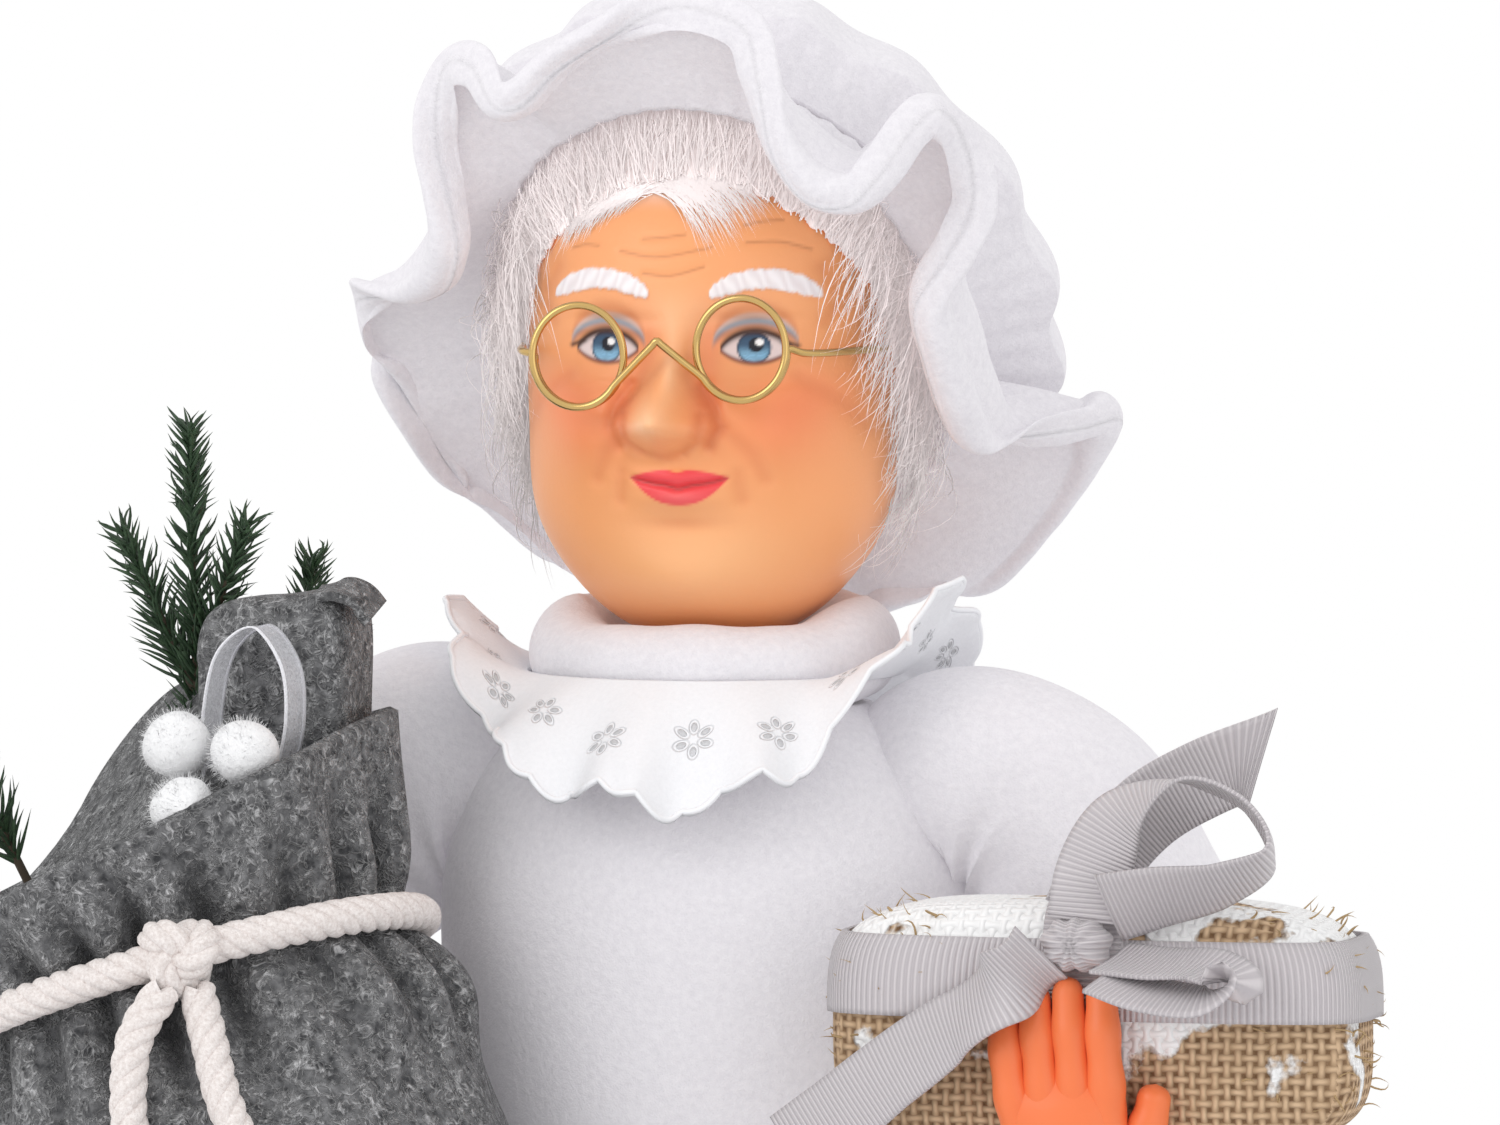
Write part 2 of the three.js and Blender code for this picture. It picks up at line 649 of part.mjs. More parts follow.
const wig = () => bowlWall(wigRings(HAIR_SEAT + HAIR_THICK), wigRings(HAIR_SEAT));

// Mob cap

// Point of the cap: angle from its top towards +X, radius in the band's plane, reach forward of it
function capPoint(angle, radius, forward) {
  const up = radius * Math.cos(angle);
  return vec(
    radius * Math.sin(angle),
    CAP_BACK - up * Math.sin(CAP_TILT) - forward * Math.cos(CAP_TILT),
    HEAD_Z + CAP_UP + up * Math.cos(CAP_TILT) - forward * Math.sin(CAP_TILT),
  );
}

const bandRadius = (angle) =>
  1 / Math.hypot(Math.sin(angle) / BAND_HALF_WIDTH, Math.cos(angle) / BAND_HALF_HEIGHT);

const bandRings = (grow) => [-BAND_LENGTH, 0].map((forward) =>
  ringOf(BODY_SIDES, (angle) => capPoint(angle, bandRadius(angle) + grow, forward)));

const bonnetBand = () => tubeWall(bandRings(CLOTH), bandRings(0));

// Crown: puffs out behind the band, fullest at the nape, and closes in a dome with gathers
function crownRings(grow) {
  const rim = -BAND_LENGTH - GAP;
  const turnIn = 0.72;
  const setBack = CROWN_DEPTH / 4;
  return steps(6).map((along) => lerp(0.08, 1, along)).map((share) => ringOf(CROWN_GATHERS * 2, (angle) => {
    const puff = bandRadius(angle) + CROWN_PUFF * (0.7 - 0.3 * Math.cos(angle)) + grow;
    const dome = Math.min(share / turnIn, 1) * Math.PI / 2;
    const close = smoothstep(share, turnIn, 1);
    const gather = GATHER_DEPTH * smoothstep(share, 0.3, 0.7) * (1 - close) * Math.cos(CROWN_GATHERS * angle);
    const radius = lerp(puff * Math.sin(dome) + gather, bandRadius(angle) + grow, close);
    const back = lerp(setBack + (CROWN_DEPTH - setBack + grow) * Math.cos(dome), 0, close);
    return capPoint(angle, radius, rim - back);
  }));
}

const bonnetCrown = () => bowlWall(crownRings(CLOTH), crownRings(0));

// Hem of the brim at a share of a full turn: angle, radius and forward reach on a smooth line
function hemAt(turn) {
  const count = BRIM_HEM.length;
  const key = (i) => {
    const [angle, radius, forward] = BRIM_HEM[THREE.MathUtils.euclideanModulo(i, count)];
    return vec(angle + 360 * Math.floor(i / count), radius, forward);
  };
  const first = Math.floor(turn * count);
  const line = new THREE.CatmullRomCurve3([-1, 0, 1, 2].map((i) => key(first + i)), false, 'catmullrom');
  return line.getPoint((1 + turn * count - first) / 3);
}

// Middle of the brim's cloth; where the hem lies close to the band the spare cloth bulges outwards
function brimPoint(turn, share) {
  const hem = hemAt(turn);
  const angle = THREE.MathUtils.degToRad(hem.x);
  const root = bandRadius(angle) + CLOTH / 2;
  const start = GAP + CLOTH / 2;
  const slack = Math.sqrt(Math.max(BRIM_CLOTH ** 2 - (hem.y - root) ** 2 - (hem.z - start) ** 2, 0)) / 2;
  const bulge = slack * Math.sin(Math.PI * share);
  return capPoint(angle, lerp(root, hem.y, share) + 0.7 * bulge, lerp(start, hem.z, share));
}

function brimRings(side) {
  const nudge = 1e-3;
  return steps(3).map((share) => Array.from({ length: BRIM_HEM.length * 2 }, (_, j) => {
    const turn = j / (BRIM_HEM.length * 2);
    const middle = brimPoint(turn, share);
    const round = brimPoint(turn + nudge, share).sub(brimPoint(turn - nudge, share));
    const out = brimPoint(turn, share + nudge).sub(brimPoint(turn, share - nudge));
    const thick = lerp(CLOTH, HEM_ROLL, smoothstep(share, 0.7, 1));
    return middle.addScaledVector(round.cross(out).normalize(), side * thick / 2);
  }));
}

const bonnetRuffle = () => tubeWall(brimRings(1), brimRings(-1));

// Spectacles: from one temple round a rim, over the nose, round the other rim to the other temple.
// Each rim is wound once and then again along its lower half, a wire's width further forward.
function spectaclesWire() {
  const plane = HEAD_HALF_DEPTH + LENS_FORWARD;
  const rimEdge = LENS_SPACING + LENS_HALF_WIDTH;
  const half = (side) => {
    const points = [
      vec(side * (rimEdge + TEMPLE_SPREAD), TEMPLE_END_Y, LENS_UP),
      vec(side * (rimEdge + TEMPLE_SPREAD - HINGE_BEND), TEMPLE_END_Y - TEMPLE_BEND, LENS_UP),
      vec(side * (rimEdge + HINGE_BEND) + LENS_SHIFT, HINGE_BEND - plane, LENS_UP),
    ];
    const rimUp = LENS_UP + side * RIM_TILT;
    for (const share of steps(18)) {
      const angle = THREE.MathUtils.degToRad(-RIM_TURN * share);
      const x = LENS_SHIFT + side * (LENS_SPACING + LENS_HALF_WIDTH * Math.cos(angle));
      points.push(vec(x, -plane - RIM_LEAD * share, rimUp + LENS_HALF_HEIGHT * Math.sin(angle)));
    }
    return points;
  };
  const apex = vec(LENS_SHIFT, -plane - RIM_LEAD - BRIDGE_FORWARD, LENS_UP + BRIDGE_RISE);
  const path = [...half(1), apex, ...half(-1).reverse()];
  return bar(path.map(onHead), WIRE_RADIUS, 72, 5);
}

// Arms

const shoulder = (side) => vec(side * SHOULDER_X, 0, SHOULDER_Z);
const armPoints = (arm, side) => arm.map(([x, y, z]) => shoulder(side).add(vec(x, y, z)));
const armRadii = (arm) => arm.map((point) => point[3]);

function armEnd(arm, side) {
  const path = smoothPath(armPoints(arm, side));
  return { at: path.getPoint(1), along: path.getTangent(1) };
}

// The wire turns in the body's bore, follows the sleeve and ends inside the palm
function armWire(arm, side, grow = 0) {
  const { at, along } = armEnd(arm, side);
  const reach = CUFF_LENGTH + PALM_LENGTH / 2 + grow;
  const points = [
    vec(side * (POST_RADIUS + ARM_WIRE_STANDOFF), 0, SHOULDER_Z),
    ...armPoints(arm, side),
    at.clone().addScaledVector(along, reach / 2),
    at.clone().addScaledVector(along, reach),
  ];
  return bar(points, ARM_WIRE_RADIUS + grow, 20);
}

const sleeveForm = (arm, side, grow) =>
  limb(armPoints(arm, side), armRadii(arm), 13, LIMB_SIDES, { start: vec(side, 0, 0), grow });

function sleeve(arm, side) {
  const trunkSide = barAlongX(0, side * (SHOULDER_X + GAP / 2), SHOULDER_Z, 2 * ARMHOLE_RADIUS);
  return cut(sleeveForm(arm, side, 0), trunkSide, armWire(arm, side, GAP));
}

function cuff(arm, side) {
  const { at, along } = armEnd(arm, side);
  const radius = arm.at(-1)[3];
  const places = [GAP, CUFF_LENGTH / 3, (2 * CUFF_LENGTH) / 3, CUFF_LENGTH];
  const points = places.map((reach) => at.clone().addScaledVector(along, reach));
  const swell = radius + CUFF_SWELL;
  return cut(limb(points, [radius, swell, swell, radius], 4, LIMB_SIDES), armWire(arm, side, GAP));
}

// Finger or thumb: a rounded limb, slimmer at its tip
const digit = (points, radius) =>
  limb(points, [radius * 0.95, radius, radius * 0.78], 3, 7, { round: true, across: vec(1, 0, 0) });

// Hands: fingers along +Z, palm towards +Y, thumb on the side given
function handForm(thumbSide) {
  const section = (z, halfWidth, halfThick) => ringOf(LIMB_SIDES, (angle) =>
    vec(halfWidth * Math.sin(angle), -halfThick * Math.cos(angle), z));
  const palm = skin([
    section(0, WRIST_RADIUS * 0.9, WRIST_RADIUS * 0.75),
    section(PALM_LENGTH * 0.3, WRIST_RADIUS, WRIST_RADIUS * 0.75),
    section(PALM_LENGTH * 0.65, PALM_HALF_WIDTH, PALM_HALF_THICK),
    section(PALM_LENGTH * 0.95, PALM_HALF_WIDTH, PALM_HALF_THICK * 0.8),
    section(PALM_LENGTH * 1.05, PALM_HALF_WIDTH * 0.85, PALM_HALF_THICK * 0.5),
  ]);
  const fingers = FINGER_SHARES.map((share, i) => {
    const x = thumbSide * (1.5 - i) * FINGER_SPREAD;
    const length = FINGER_LENGTH * share;
    const root = vec(x * 0.9, 0, PALM_LENGTH * 0.7);
    const middle = vec(x, -FINGER_CURL, PALM_LENGTH + length * 0.4);
    const tip = vec(x * 1.04, 2 * FINGER_CURL, PALM_LENGTH + length - FINGER_RADIUS);
    return digit([root, middle, tip], FINGER_RADIUS);
  });
  const thumb = THUMB_ROUTE.map(([x, y, z]) => vec(thumbSide * x, y, z));
  return join(palm, ...fingers, digit(thumb, THUMB_RADIUS));
}

function hand(arm, side, palmTowards, thumbSide) {
  const { at, along } = armEnd(arm, side);
  const facing = palmTowards.clone().addScaledVector(along, -palmTowards.dot(along)).normalize();
  const place = new THREE.Matrix4().makeBasis(facing.clone().cross(along), facing, along);
  place.setPosition(at.clone().addScaledVector(along, CUFF_LENGTH + GAP));
  return cut(handForm(thumbSide).applyMatrix4(place), armWire(arm, side, GAP));
}

// Gift

const GIFT_AT = shoulder(1).add(vec(...GIFT_FROM_SHOULDER));
const GIFT_HALF = [GIFT_HALF_LENGTH, GIFT_HALF_DEPTH, GIFT_HALF_HEIGHT];
const RIBBON_ROOM = GAP + RIBBON_THICK;
const KNOT_AT = vec(0, -GIFT_HALF_DEPTH - KNOT_RADIUS * 0.7, KNOT_UP);

const giftForm = (grow) => lump(GIFT_HALF, GIFT_SQUARENESS, 20, 12, grow);
const giftPlaced = (geometry) => geometry.translate(GIFT_AT.x, GIFT_AT.y, GIFT_AT.z);

// One ribbon goes round the gift lengthwise and one crosses it under the knot
function giftRibbonBand() {
  const wide = 4 * GIFT_HALF_LENGTH;
  const across = new THREE.BoxGeometry(RIBBON_WIDTH, wide, wide);
  const along = new THREE.BoxGeometry(wide, wide, RIBBON_WIDTH).translate(0, 0, RIBBON_UP);
  return cut(common(giftForm(RIBBON_ROOM), join(across, along)), giftForm(GAP));
}

const bowPiece = (geometry) =>
  cut(geometry.translate(KNOT_AT.x, KNOT_AT.y, KNOT_AT.z), giftForm(RIBBON_ROOM + GAP));
const bowKnot = (grow = 0) => lump([KNOT_RADIUS, KNOT_RADIUS * 0.9, KNOT_HEIGHT], 2.4, 12, 8, grow);
const bowRibbon = ({ route, facing }) =>
  bowPiece(cut(ribbon(route, facing, RIBBON_WIDTH, RIBBON_THICK, 18), bowKnot(GAP)));

// Sack

const SACK_NECK = shoulder(-1).add(vec(...SACK_FROM_SHOULDER));
const SACK_AXIS = vec(...SACK_LEAN).normalize();
const SACK_SIDE = vec(1, 0, 0).addScaledVector(SACK_AXIS, -SACK_AXIS.x).normalize();
const SACK_FRONT = SACK_SIDE.clone().cross(SACK_AXIS);
const SACK_RIM = SACK_PROFILE.at(-1)[0];

// Point of the sack's skin; above the neck the mouth rises at the side and sinks at the front
function sackPoint(angle, reach, radius) {
  const rim = SACK_RIM + SACK_RIM_SIDE * Math.sin(angle) - SACK_RIM_FRONT * Math.cos(angle);
  const along = reach > 0 ? (reach * rim) / SACK_RIM : reach;
  return SACK_NECK.clone()
    .addScaledVector(SACK_AXIS, along)
    .addScaledVector(SACK_SIDE, radius * Math.sin(angle))
    .addScaledVector(SACK_FRONT, SACK_DEPTH_SHARE * radius * Math.cos(angle));
}

function sackRings(grow, foot = 0) {
  return SACK_PROFILE.map(([reach, radius], i) => ringOf(SACK_GATHERS * 2, (angle) => {
    const gather = SACK_GATHER_DEPTH * Math.exp(-((reach / SACK_RIM) ** 2)) * Math.cos(SACK_GATHERS * angle);
    return sackPoint(angle, reach + (i === 0 ? foot : 0), radius + gather + grow);
  }));
}

const sack = (...room) => cut(bowlWall(sackRings(0), sackRings(-FELT_THICK, FELT_THICK)), ...room);

// Stuffing inside the felt, clear of its gathers, with a hollow for each thing that stands on it
function sackFilling(...room) {
  const inset = FELT_THICK + 2 * SACK_GATHER_DEPTH + GAP;
  const profile = SACK_PROFILE.filter(([reach]) => reach <= FILLING_TOP);
  const rings = profile.map(([reach, radius], i) =>
    ringOf(TORSO_SIDES, (angle) => sackPoint(angle, reach + (i === 0 ? FELT_THICK + GAP : 0), radius - inset)));
  const edge = profile.at(-1)[1] - inset;
  const heap = FILLING_HEAP.map(([reach, share]) =>
    ringOf(TORSO_SIDES, (angle) => sackPoint(angle, reach, edge * share)));
  return cut(skin([...rings, ...heap]), ...room);
}

// Cord: once round the neck from knot to knot, and two free tails
const CORD_RING = SACK_NECK_RADIUS + SACK_GATHER_DEPTH + 2 * GAP + CORD_RADIUS / SACK_DEPTH_SHARE;
const CORD_KNOT = sackPoint(KNOT_ANGLE, 0, CORD_RING);

function sackCord() {
  const inset = KNOT_HALF[0] / CORD_RING;
  const points = steps(20).map((share) =>
    sackPoint(KNOT_ANGLE + lerp(inset, 2 * Math.PI - inset, share), 0, CORD_RING));
  return cut(bar(points, CORD_RADIUS, 24, CORD_SIDES), cordKnot(GAP));
}

const cordKnot = (grow = 0) =>
  lump(KNOT_HALF, 2.3, 12, 8, grow).translate(CORD_KNOT.x, CORD_KNOT.y, CORD_KNOT.z);
const sackSolid = (grow) => skin(sackRings(grow, -grow));

function cordTail(route) {
  const points = route.map((point) => CORD_KNOT.clone().add(vec(...point)));
  return cut(bar(points, CORD_RADIUS, 10, CORD_SIDES), cordKnot(GAP), sackSolid(GAP));
}

// What stands in the sack

const fromNeck = (geometry, [x, y, z]) =>
  geometry.translate(SACK_NECK.x + x, SACK_NECK.y + y, SACK_NECK.z + z);
const feltParcel = (grow = 0) => fromNeck(lump(PARCEL_HALF, 6, 16, 10, grow), PARCEL_AT);
const organzaRibbon = (grow = 0) =>
  fromNeck(ribbon(ORGANZA_LOOP, [[0.25, 1, 0]], ORGANZA_WIDTH + grow, RIBBON_THICK + grow, 20), [0, 0, 0]);
const pompom = (place, grow = 0) => fromNeck(lump([1, 1, 1].map(() => POMPOM_RADIUS), 2, 10, 7, grow), place);

// Sprig: a stem with flat needles in pairs, closer and shorter towards the tip
function pineSprig({ at, lean, length }, grow = 0) {
  const axis = vec(...lean).normalize();
  const stemPoints = [0, 0.5, 1].map((share) => axis.clone().multiplyScalar(length * share));
  const stem = bar(stemPoints, SPRIG_STEM_RADIUS + grow, 3);
  const needles = Array.from({ length: NEEDLE_COUNT }, (_, i) => {
    const share = lerp(NEEDLE_START, 0.98, i / (NEEDLE_COUNT - 1));
    const turn = i * NEEDLE_TURN;
    const out = vec(Math.cos(turn), Math.sin(turn), 0.9).normalize();
    const root = axis.clone().multiplyScalar(length * share);
    const tip = root.clone().addScaledVector(out, NEEDLE_LENGTH * lerp(1, 0.6, share));
    return ribbon([root.toArray(), root.clone().lerp(tip, 0.5).toArray(), tip.toArray()],
      [[-Math.sin(turn), Math.cos(turn), 0]], NEEDLE_WIDTH, NEEDLE_WIDTH / 2, 1);
  });
  return fromNeck(grow ? stem : join(stem, ...needles), at);
}

// Assembly

const FINISHES = {
  wood: { color: 0xb98d5a, roughness: 0.6 },
  card: { color: 0xa88a63, roughness: 0.9 },
  stuffing: { color: 0xf1efe9, roughness: 1 },
  fleece: { color: 0xf4f2ee, roughness: 0.95 },
  lace: { color: 0xf6f4ef, roughness: 0.85 },
  vinyl: { color: 0xf2ab75, roughness: 0.45 },
  hair: { color: 0xf3e9e4, roughness: 0.7 },
  gold: { color: 0xc9a24a, roughness: 0.3, metalness: 1 },
  wire: { color: 0x8c8f92, roughness: 0.5, metalness: 1 },
  burlap: { color: 0xb49a74, roughness: 0.95 },
  ribbon: { color: 0xb9b3bd, roughness: 0.5 },
  felt: { color: 0x8b8b8e, roughness: 0.95 },
  cotton: { color: 0xe9e4da, roughness: 0.9 },
  organza: { color: 0xf7f6f8, roughness: 0.4 },
  pompom: { color: 0xfafafa, roughness: 1 },
  pine: { color: 0x2f4a33, roughness: 0.7 },
};

function body(pieces) {
  const group = new THREE.Group();
  for (const [name, finish, geometry] of pieces) {
    const mesh = new THREE.Mesh(geometry, new THREE.MeshStandardMaterial(FINISHES[finish]));
    mesh.name = name;
    group.add(mesh);
  }
  return group;
}

const trunk = body([
  ['base_plate', 'wood', basePlate()],
  ['centre_post', 'wood', centrePost()],
  ['skirt_cone', 'card', skirtCone()],
  ['body_core', 'stuffing', bodyCore()],
  ['dress_skirt', 'fleece', tubeWall(skirtRings(0), skirtRings(-CLOTH))],
  ['dress_bodice', 'fleece', dressBodice()],
  ['neckband', 'fleece', neckband()],
  ['lace_collar', 'lace', laceCollar()],
]);

const head = body([
  ['head_shell', 'vinyl', headShell()],
  ['wig', 'hair', wig()],
  ['bonnet_band', 'fleece', bonnetBand()],
  ['bonnet_crown', 'fleece', bonnetCrown()],
  ['bonnet_ruffle', 'fleece', bonnetRuffle()],
]);

const spectacles = body([['spectacles_wire', 'gold', spectaclesWire()]]);

const giftRoom = giftPlaced(giftForm(RIBBON_ROOM + GAP));
const leftHand = cut(hand(LEFT_ARM, 1, vec(0, 1, 0), 1), giftRoom);
const leftArm = body([
  ['left_arm_wire', 'wire', armWire(LEFT_ARM, 1)],
  ['left_sleeve', 'fleece', sleeve(LEFT_ARM, 1)],
  ['left_cuff', 'fleece', cuff(LEFT_ARM, 1)],
  ['left_hand', 'vinyl', leftHand],
  ['gift_parcel', 'burlap', giftPlaced(giftForm(0))],
  ['gift_ribbon_band', 'ribbon', giftPlaced(giftRibbonBand())],
  ['bow_knot', 'ribbon', giftPlaced(bowPiece(bowKnot()))],
  ...Object.entries(BOW).map(([name, route]) => [name, 'ribbon', giftPlaced(bowRibbon(route))]),
]);

const rightHand = hand(RIGHT_ARM, -1, vec(0, 0, 1), -1);
const besideSack = (grow) => [
  skin(torsoRings(grow)), skin(skirtRings(grow)), sleeveForm(RIGHT_ARM, -1, grow),
];
const contentsRoom = [feltParcel(GAP), organzaRibbon(GAP), ...POMPOMS.map((place) => pompom(place, GAP))];
const stemRoom = SPRIGS.map((sprig) => pineSprig(sprig, GAP));
const filling = sackFilling(...besideSack(FELT_THICK), ...contentsRoom, ...stemRoom);
const rightArm = body([
  ['right_arm_wire', 'wire', armWire(RIGHT_ARM, -1)],
  ['right_sleeve', 'fleece', sleeve(RIGHT_ARM, -1)],
  ['right_cuff', 'fleece', cuff(RIGHT_ARM, -1)],
  ['right_hand', 'vinyl', cut(rightHand, sackSolid(GAP))],
  ['sack', 'felt', sack(...besideSack(GAP))],
  ['sack_filling', 'felt', filling],
  ['sack_cord', 'cotton', sackCord()],
  ['sack_cord_knot', 'cotton', cut(cordKnot(), sackSolid(GAP))],
  ['sack_cord_tail_front', 'cotton', cordTail(TAIL_FRONT)],
  ['sack_cord_tail_side', 'cotton', cordTail(TAIL_SIDE)],
  ['felt_parcel', 'felt', feltParcel()],
  ['organza_ribbon', 'organza', organzaRibbon()],
  ...POMPOMS.map((place, i) => [`pompom_${i + 1}`, 'pompom', pompom(place)]),
  ...SPRIGS.map((sprig, i) => [`pine_sprig_${i + 1}`, 'pine', cut(pineSprig(sprig), feltParcel(GAP))]),
]);

const figure = new THREE.Group();
figure.add(trunk, head, spectacles, leftArm, rightArm);

export default figure;
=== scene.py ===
import math

import bpy
import numpy as np
from bpy.props import FloatProperty, IntProperty, PointerProperty
from bpy.types import Operator, Panel, PropertyGroup
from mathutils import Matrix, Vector


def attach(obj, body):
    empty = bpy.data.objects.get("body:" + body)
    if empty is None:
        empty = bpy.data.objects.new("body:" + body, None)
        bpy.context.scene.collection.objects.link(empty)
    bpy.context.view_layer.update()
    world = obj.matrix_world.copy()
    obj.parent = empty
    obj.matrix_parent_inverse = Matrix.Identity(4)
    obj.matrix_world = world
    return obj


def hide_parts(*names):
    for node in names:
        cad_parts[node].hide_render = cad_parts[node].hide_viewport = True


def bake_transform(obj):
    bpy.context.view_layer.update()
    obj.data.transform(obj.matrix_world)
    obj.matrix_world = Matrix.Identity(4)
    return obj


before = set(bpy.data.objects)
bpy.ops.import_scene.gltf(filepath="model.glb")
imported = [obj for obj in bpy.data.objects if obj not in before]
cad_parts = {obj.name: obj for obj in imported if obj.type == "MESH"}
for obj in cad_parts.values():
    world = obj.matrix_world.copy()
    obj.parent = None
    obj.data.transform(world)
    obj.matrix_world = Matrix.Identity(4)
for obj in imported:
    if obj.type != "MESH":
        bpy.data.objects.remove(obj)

bl_info = {
    "name": "Grandmother figure",
    "version": (1, 0, 0),
    "blender": (4, 5, 0),
    "location": "View3D > Sidebar > Figure",
    "description": "Soft pieces, paint and materials of a standing grandmother doll",
    "category": "Object",
}

# Lengths are in millimetres until a mesh is made. The figure faces -Y and +X is its own left.
MM = 0.001
TURN = 2 * math.pi

# Cloth: gap between pieces, thickness of fleece and felt, and how far the fleece stands out of its solid
GAP = 0.3
CLOTH = 2.6
CLOTH_OUT = 0.2
FELT = 2.4

# Body: heights, waist, shoulders and skirt
WAIST_Z = 392.0
WAIST_HALF = (45.0, 39.0)
NECK_Z = 484.0
SHOULDER_Z = 471.0
SHOULDER_X = 46.0
HEAD_Z = 545.0
HEM_LIFT = 3.0
HEM_RADIUS = 104.0
SKIRT_FOLDS = 11
WAIST_GATHERS = 44

# Neckband: radius of its middle line, foot, section, dip under the chin and the head's turn that it allows
NECKBAND_MIDDLE = 25.5
NECKBAND_FOOT = 484.6
NECKBAND_WIDTH = 16.0
NECKBAND_HEIGHT = 18.5
NECKBAND_DIP = 4.1
NECK_TURN = math.radians(31)

# Lace collar, with the lace's flat size for its pattern
COLLAR_Z = 489.0
COLLAR_ROWS = 50
COLLAR_COLUMNS = 720
COLLAR_PLEATS = 13
COLLAR_SCALLOPS = 44
LACE_WIDTH = 29.0
LACE_LENGTH = 294.0
LACE_THICK = 0.8

# Bodice from waist to neck: share of its height, half width, half depth
BODICE_SECTIONS = [
    [0, *WAIST_HALF], [0.3, 49, 42], [0.55, 50, 42], [0.78, 48, 37], [0.93, 40, 30], [1, 29, 26],
]

# How deep the stuffed body lies under the bodice's outside, and how far the sack keeps off the dress
BODY_SINK = 5.0
BODY_CLEAR = 1.2

# Face relief: across, up from the head's centre, spread across, spread up, forward swell
NOSE_RELIEF = [
    [0, -9.5, 5.6, 4.8, 10.5], [0, -2, 3.8, 8, 5], [6.2, -10.5, 3.2, 3, 3.6], [-6.2, -10.5, 3.2, 3, 3.6],
]
FACE_RELIEF = [
    [17, -11, 9, 8, 3.6], [-17, -11, 9, 8, 3.6], [13.6, 4, 8, 5, -2.6], [-13.6, 4, 8, 5, -2.6],
    [0, -20.5, 9, 4.2, 2.2], [0, -38, 11, 7, 4], [0, 24, 20, 12, 1.5],
]

# Hem of the cap's brim, fold by fold: angle from the top, radius, forward reach
BRIM_HEM = [
    [3, 76, 6], [13, 75, 8], [17, 69, 15], [22, 60, 22], [30, 56, 26], [37, 59, 26], [39, 66, 22],
    [40, 72, 14], [42, 76, 10], [49, 71, 8], [56, 65, 12], [59, 58, 18], [64, 48, 22], [76, 45, 24],
    [92, 45, 24], [104, 48, 20], [106, 58, 12], [106, 68, 6], [107, 74, 0], [118, 73, -4],
    [132, 71, -4], [147, 71, -2], [160, 62, 4], [172, 68, 0], [184, 60, 5], [196, 67, 0], [206, 61, 4],
    [217, 67, 0], [230, 65, 0], [241, 64, 3], [251, 62, 5], [260, 64, 3], [268, 67, 2], [275, 67.5, 4],
    [280, 65, 8], [284, 60, 12], [288, 54.5, 16], [293, 51, 19], [301, 49, 22], [310, 51, 22],
    [315, 57, 17], [319, 65, 11], [327, 74, 6], [333, 74, 10], [336, 69, 18], [340, 67, 18],
    [346, 69, 13], [354, 71, 8],
]

# Arms from the shoulder to the wrist: place and the sleeve's radius. The sleeve starts inside the bodice.
LEFT_ARM = [
    [0, 0, 0, 20.5], [15, 0, -5, 20.5], [32, -2, -31, 22.2], [44, -8, -62, 23], [52, -24, -88, 21],
    [51, -48, -100, 18], [47, -66, -99, 16], [40.5, -73, -88, 14.5], [39.5, -73.5, -79, 14],
]
RIGHT_ARM = [
    [0, 0, 0, 22], [-16, 0, -5, 24], [-38, 3, -30, 24], [-54, 8, -64, 23], [-60, 6, -104, 22],
    [-50, -18, -136, 19], [-28, -50, -149, 15.5], [-12, -68, -151, 14],
]
SLEEVE_ROOT = [14.0, 1.0, -7.0, 14.0]
SLEEVE_GATHERS = 15
CUFF_LENGTH = 9.0
PALM_LENGTH = 22.0
FINGER_LENGTH = 19.0
FINGER_PITCH = 5.8
FINGER_RADIUS = 3.55
THUMB_RADIUS = 3.8

# Gift, and its ribbon: section, the layer of the bands over the gift, and the slanted cut of one tail
GIFT_AT = np.array([SHOULDER_X + 39, -54, SHOULDER_Z - 38.5])
GIFT_HALF = np.array([47.0, 17.0, 22.0])
GIFT_POWER = 4.2
KNOT_AT = GIFT_AT + [0, -21.2, 15.5]
RIBBON_WIDTH = 14.0
RIBBON_THICK = 0.7
RIBBON_COLUMNS = 13
BAND_OUT = 1.3
BAND_IN = 0.5
BAND_UP = 9.0
TAIL_SLANT = 11.0

# Bow, from the knot: the route of each piece, and the way its width lies from start to end
BOW = {
    "bow_loop_upper": ([[2, 0, 4], [3, 1, 13], [8, 2, 23], [18, 3, 28], [29, 2, 24.5], [34, 0, 16],
                        [26, -1.5, 11], [14, -2, 8.5], [6, -1.5, 6.5]],
                       [[1, 0.1, -0.2], [0.2, -1, 0.2], [0, -0.5, 0.85]]),
    "bow_loop_side": ([[6.5, -3, -2], [16, -6, -2.5], [25, -8, -2.5], [30, -10, -5], [26, -12, -8],
                       [16, -11.5, -7.5], [7, -9, -5]], [[0.2, 1, 0.3]]),
    "bow_tail_long": ([[-5, -5, -1], [-12, -6, -7.5], [-22, -3, -15], [-33, -1, -23], [-43, 0, -31],
                       [-51, 0.5, -37]], [[0.6, 0, 0.8]]),
    "bow_tail_short": ([[-1, 5, 4], [2, 10, 13], [9, 15, 22], [19, 17, 28], [29, 18, 32]],
                       [[-0.5, -0.3, 0.8]]),
}

# Sack: its neck, its half width against reach along its axis, its filling, foot and rounded edge
SACK_NECK = np.array([-SHOULDER_X - 34, -63, SHOULDER_Z - 34])
SACK_NECK_HALF = 38.0
SACK_RIM = 28.0
FILLING_TOP = 21.0
SACK_PROFILE = [
    [-104, 26], [-96, 38], [-80, 46], [-55, 50], [-32, 47.5], [-8, 40], [0, SACK_NECK_HALF], [10, 41],
    [FILLING_TOP, 45], [SACK_RIM, 47],
]
FILLING_SINK = 6.5
SACK_DEPTH_SHARE = 0.87
SACK_FOOT = 2.0
SACK_EDGE = 1.0

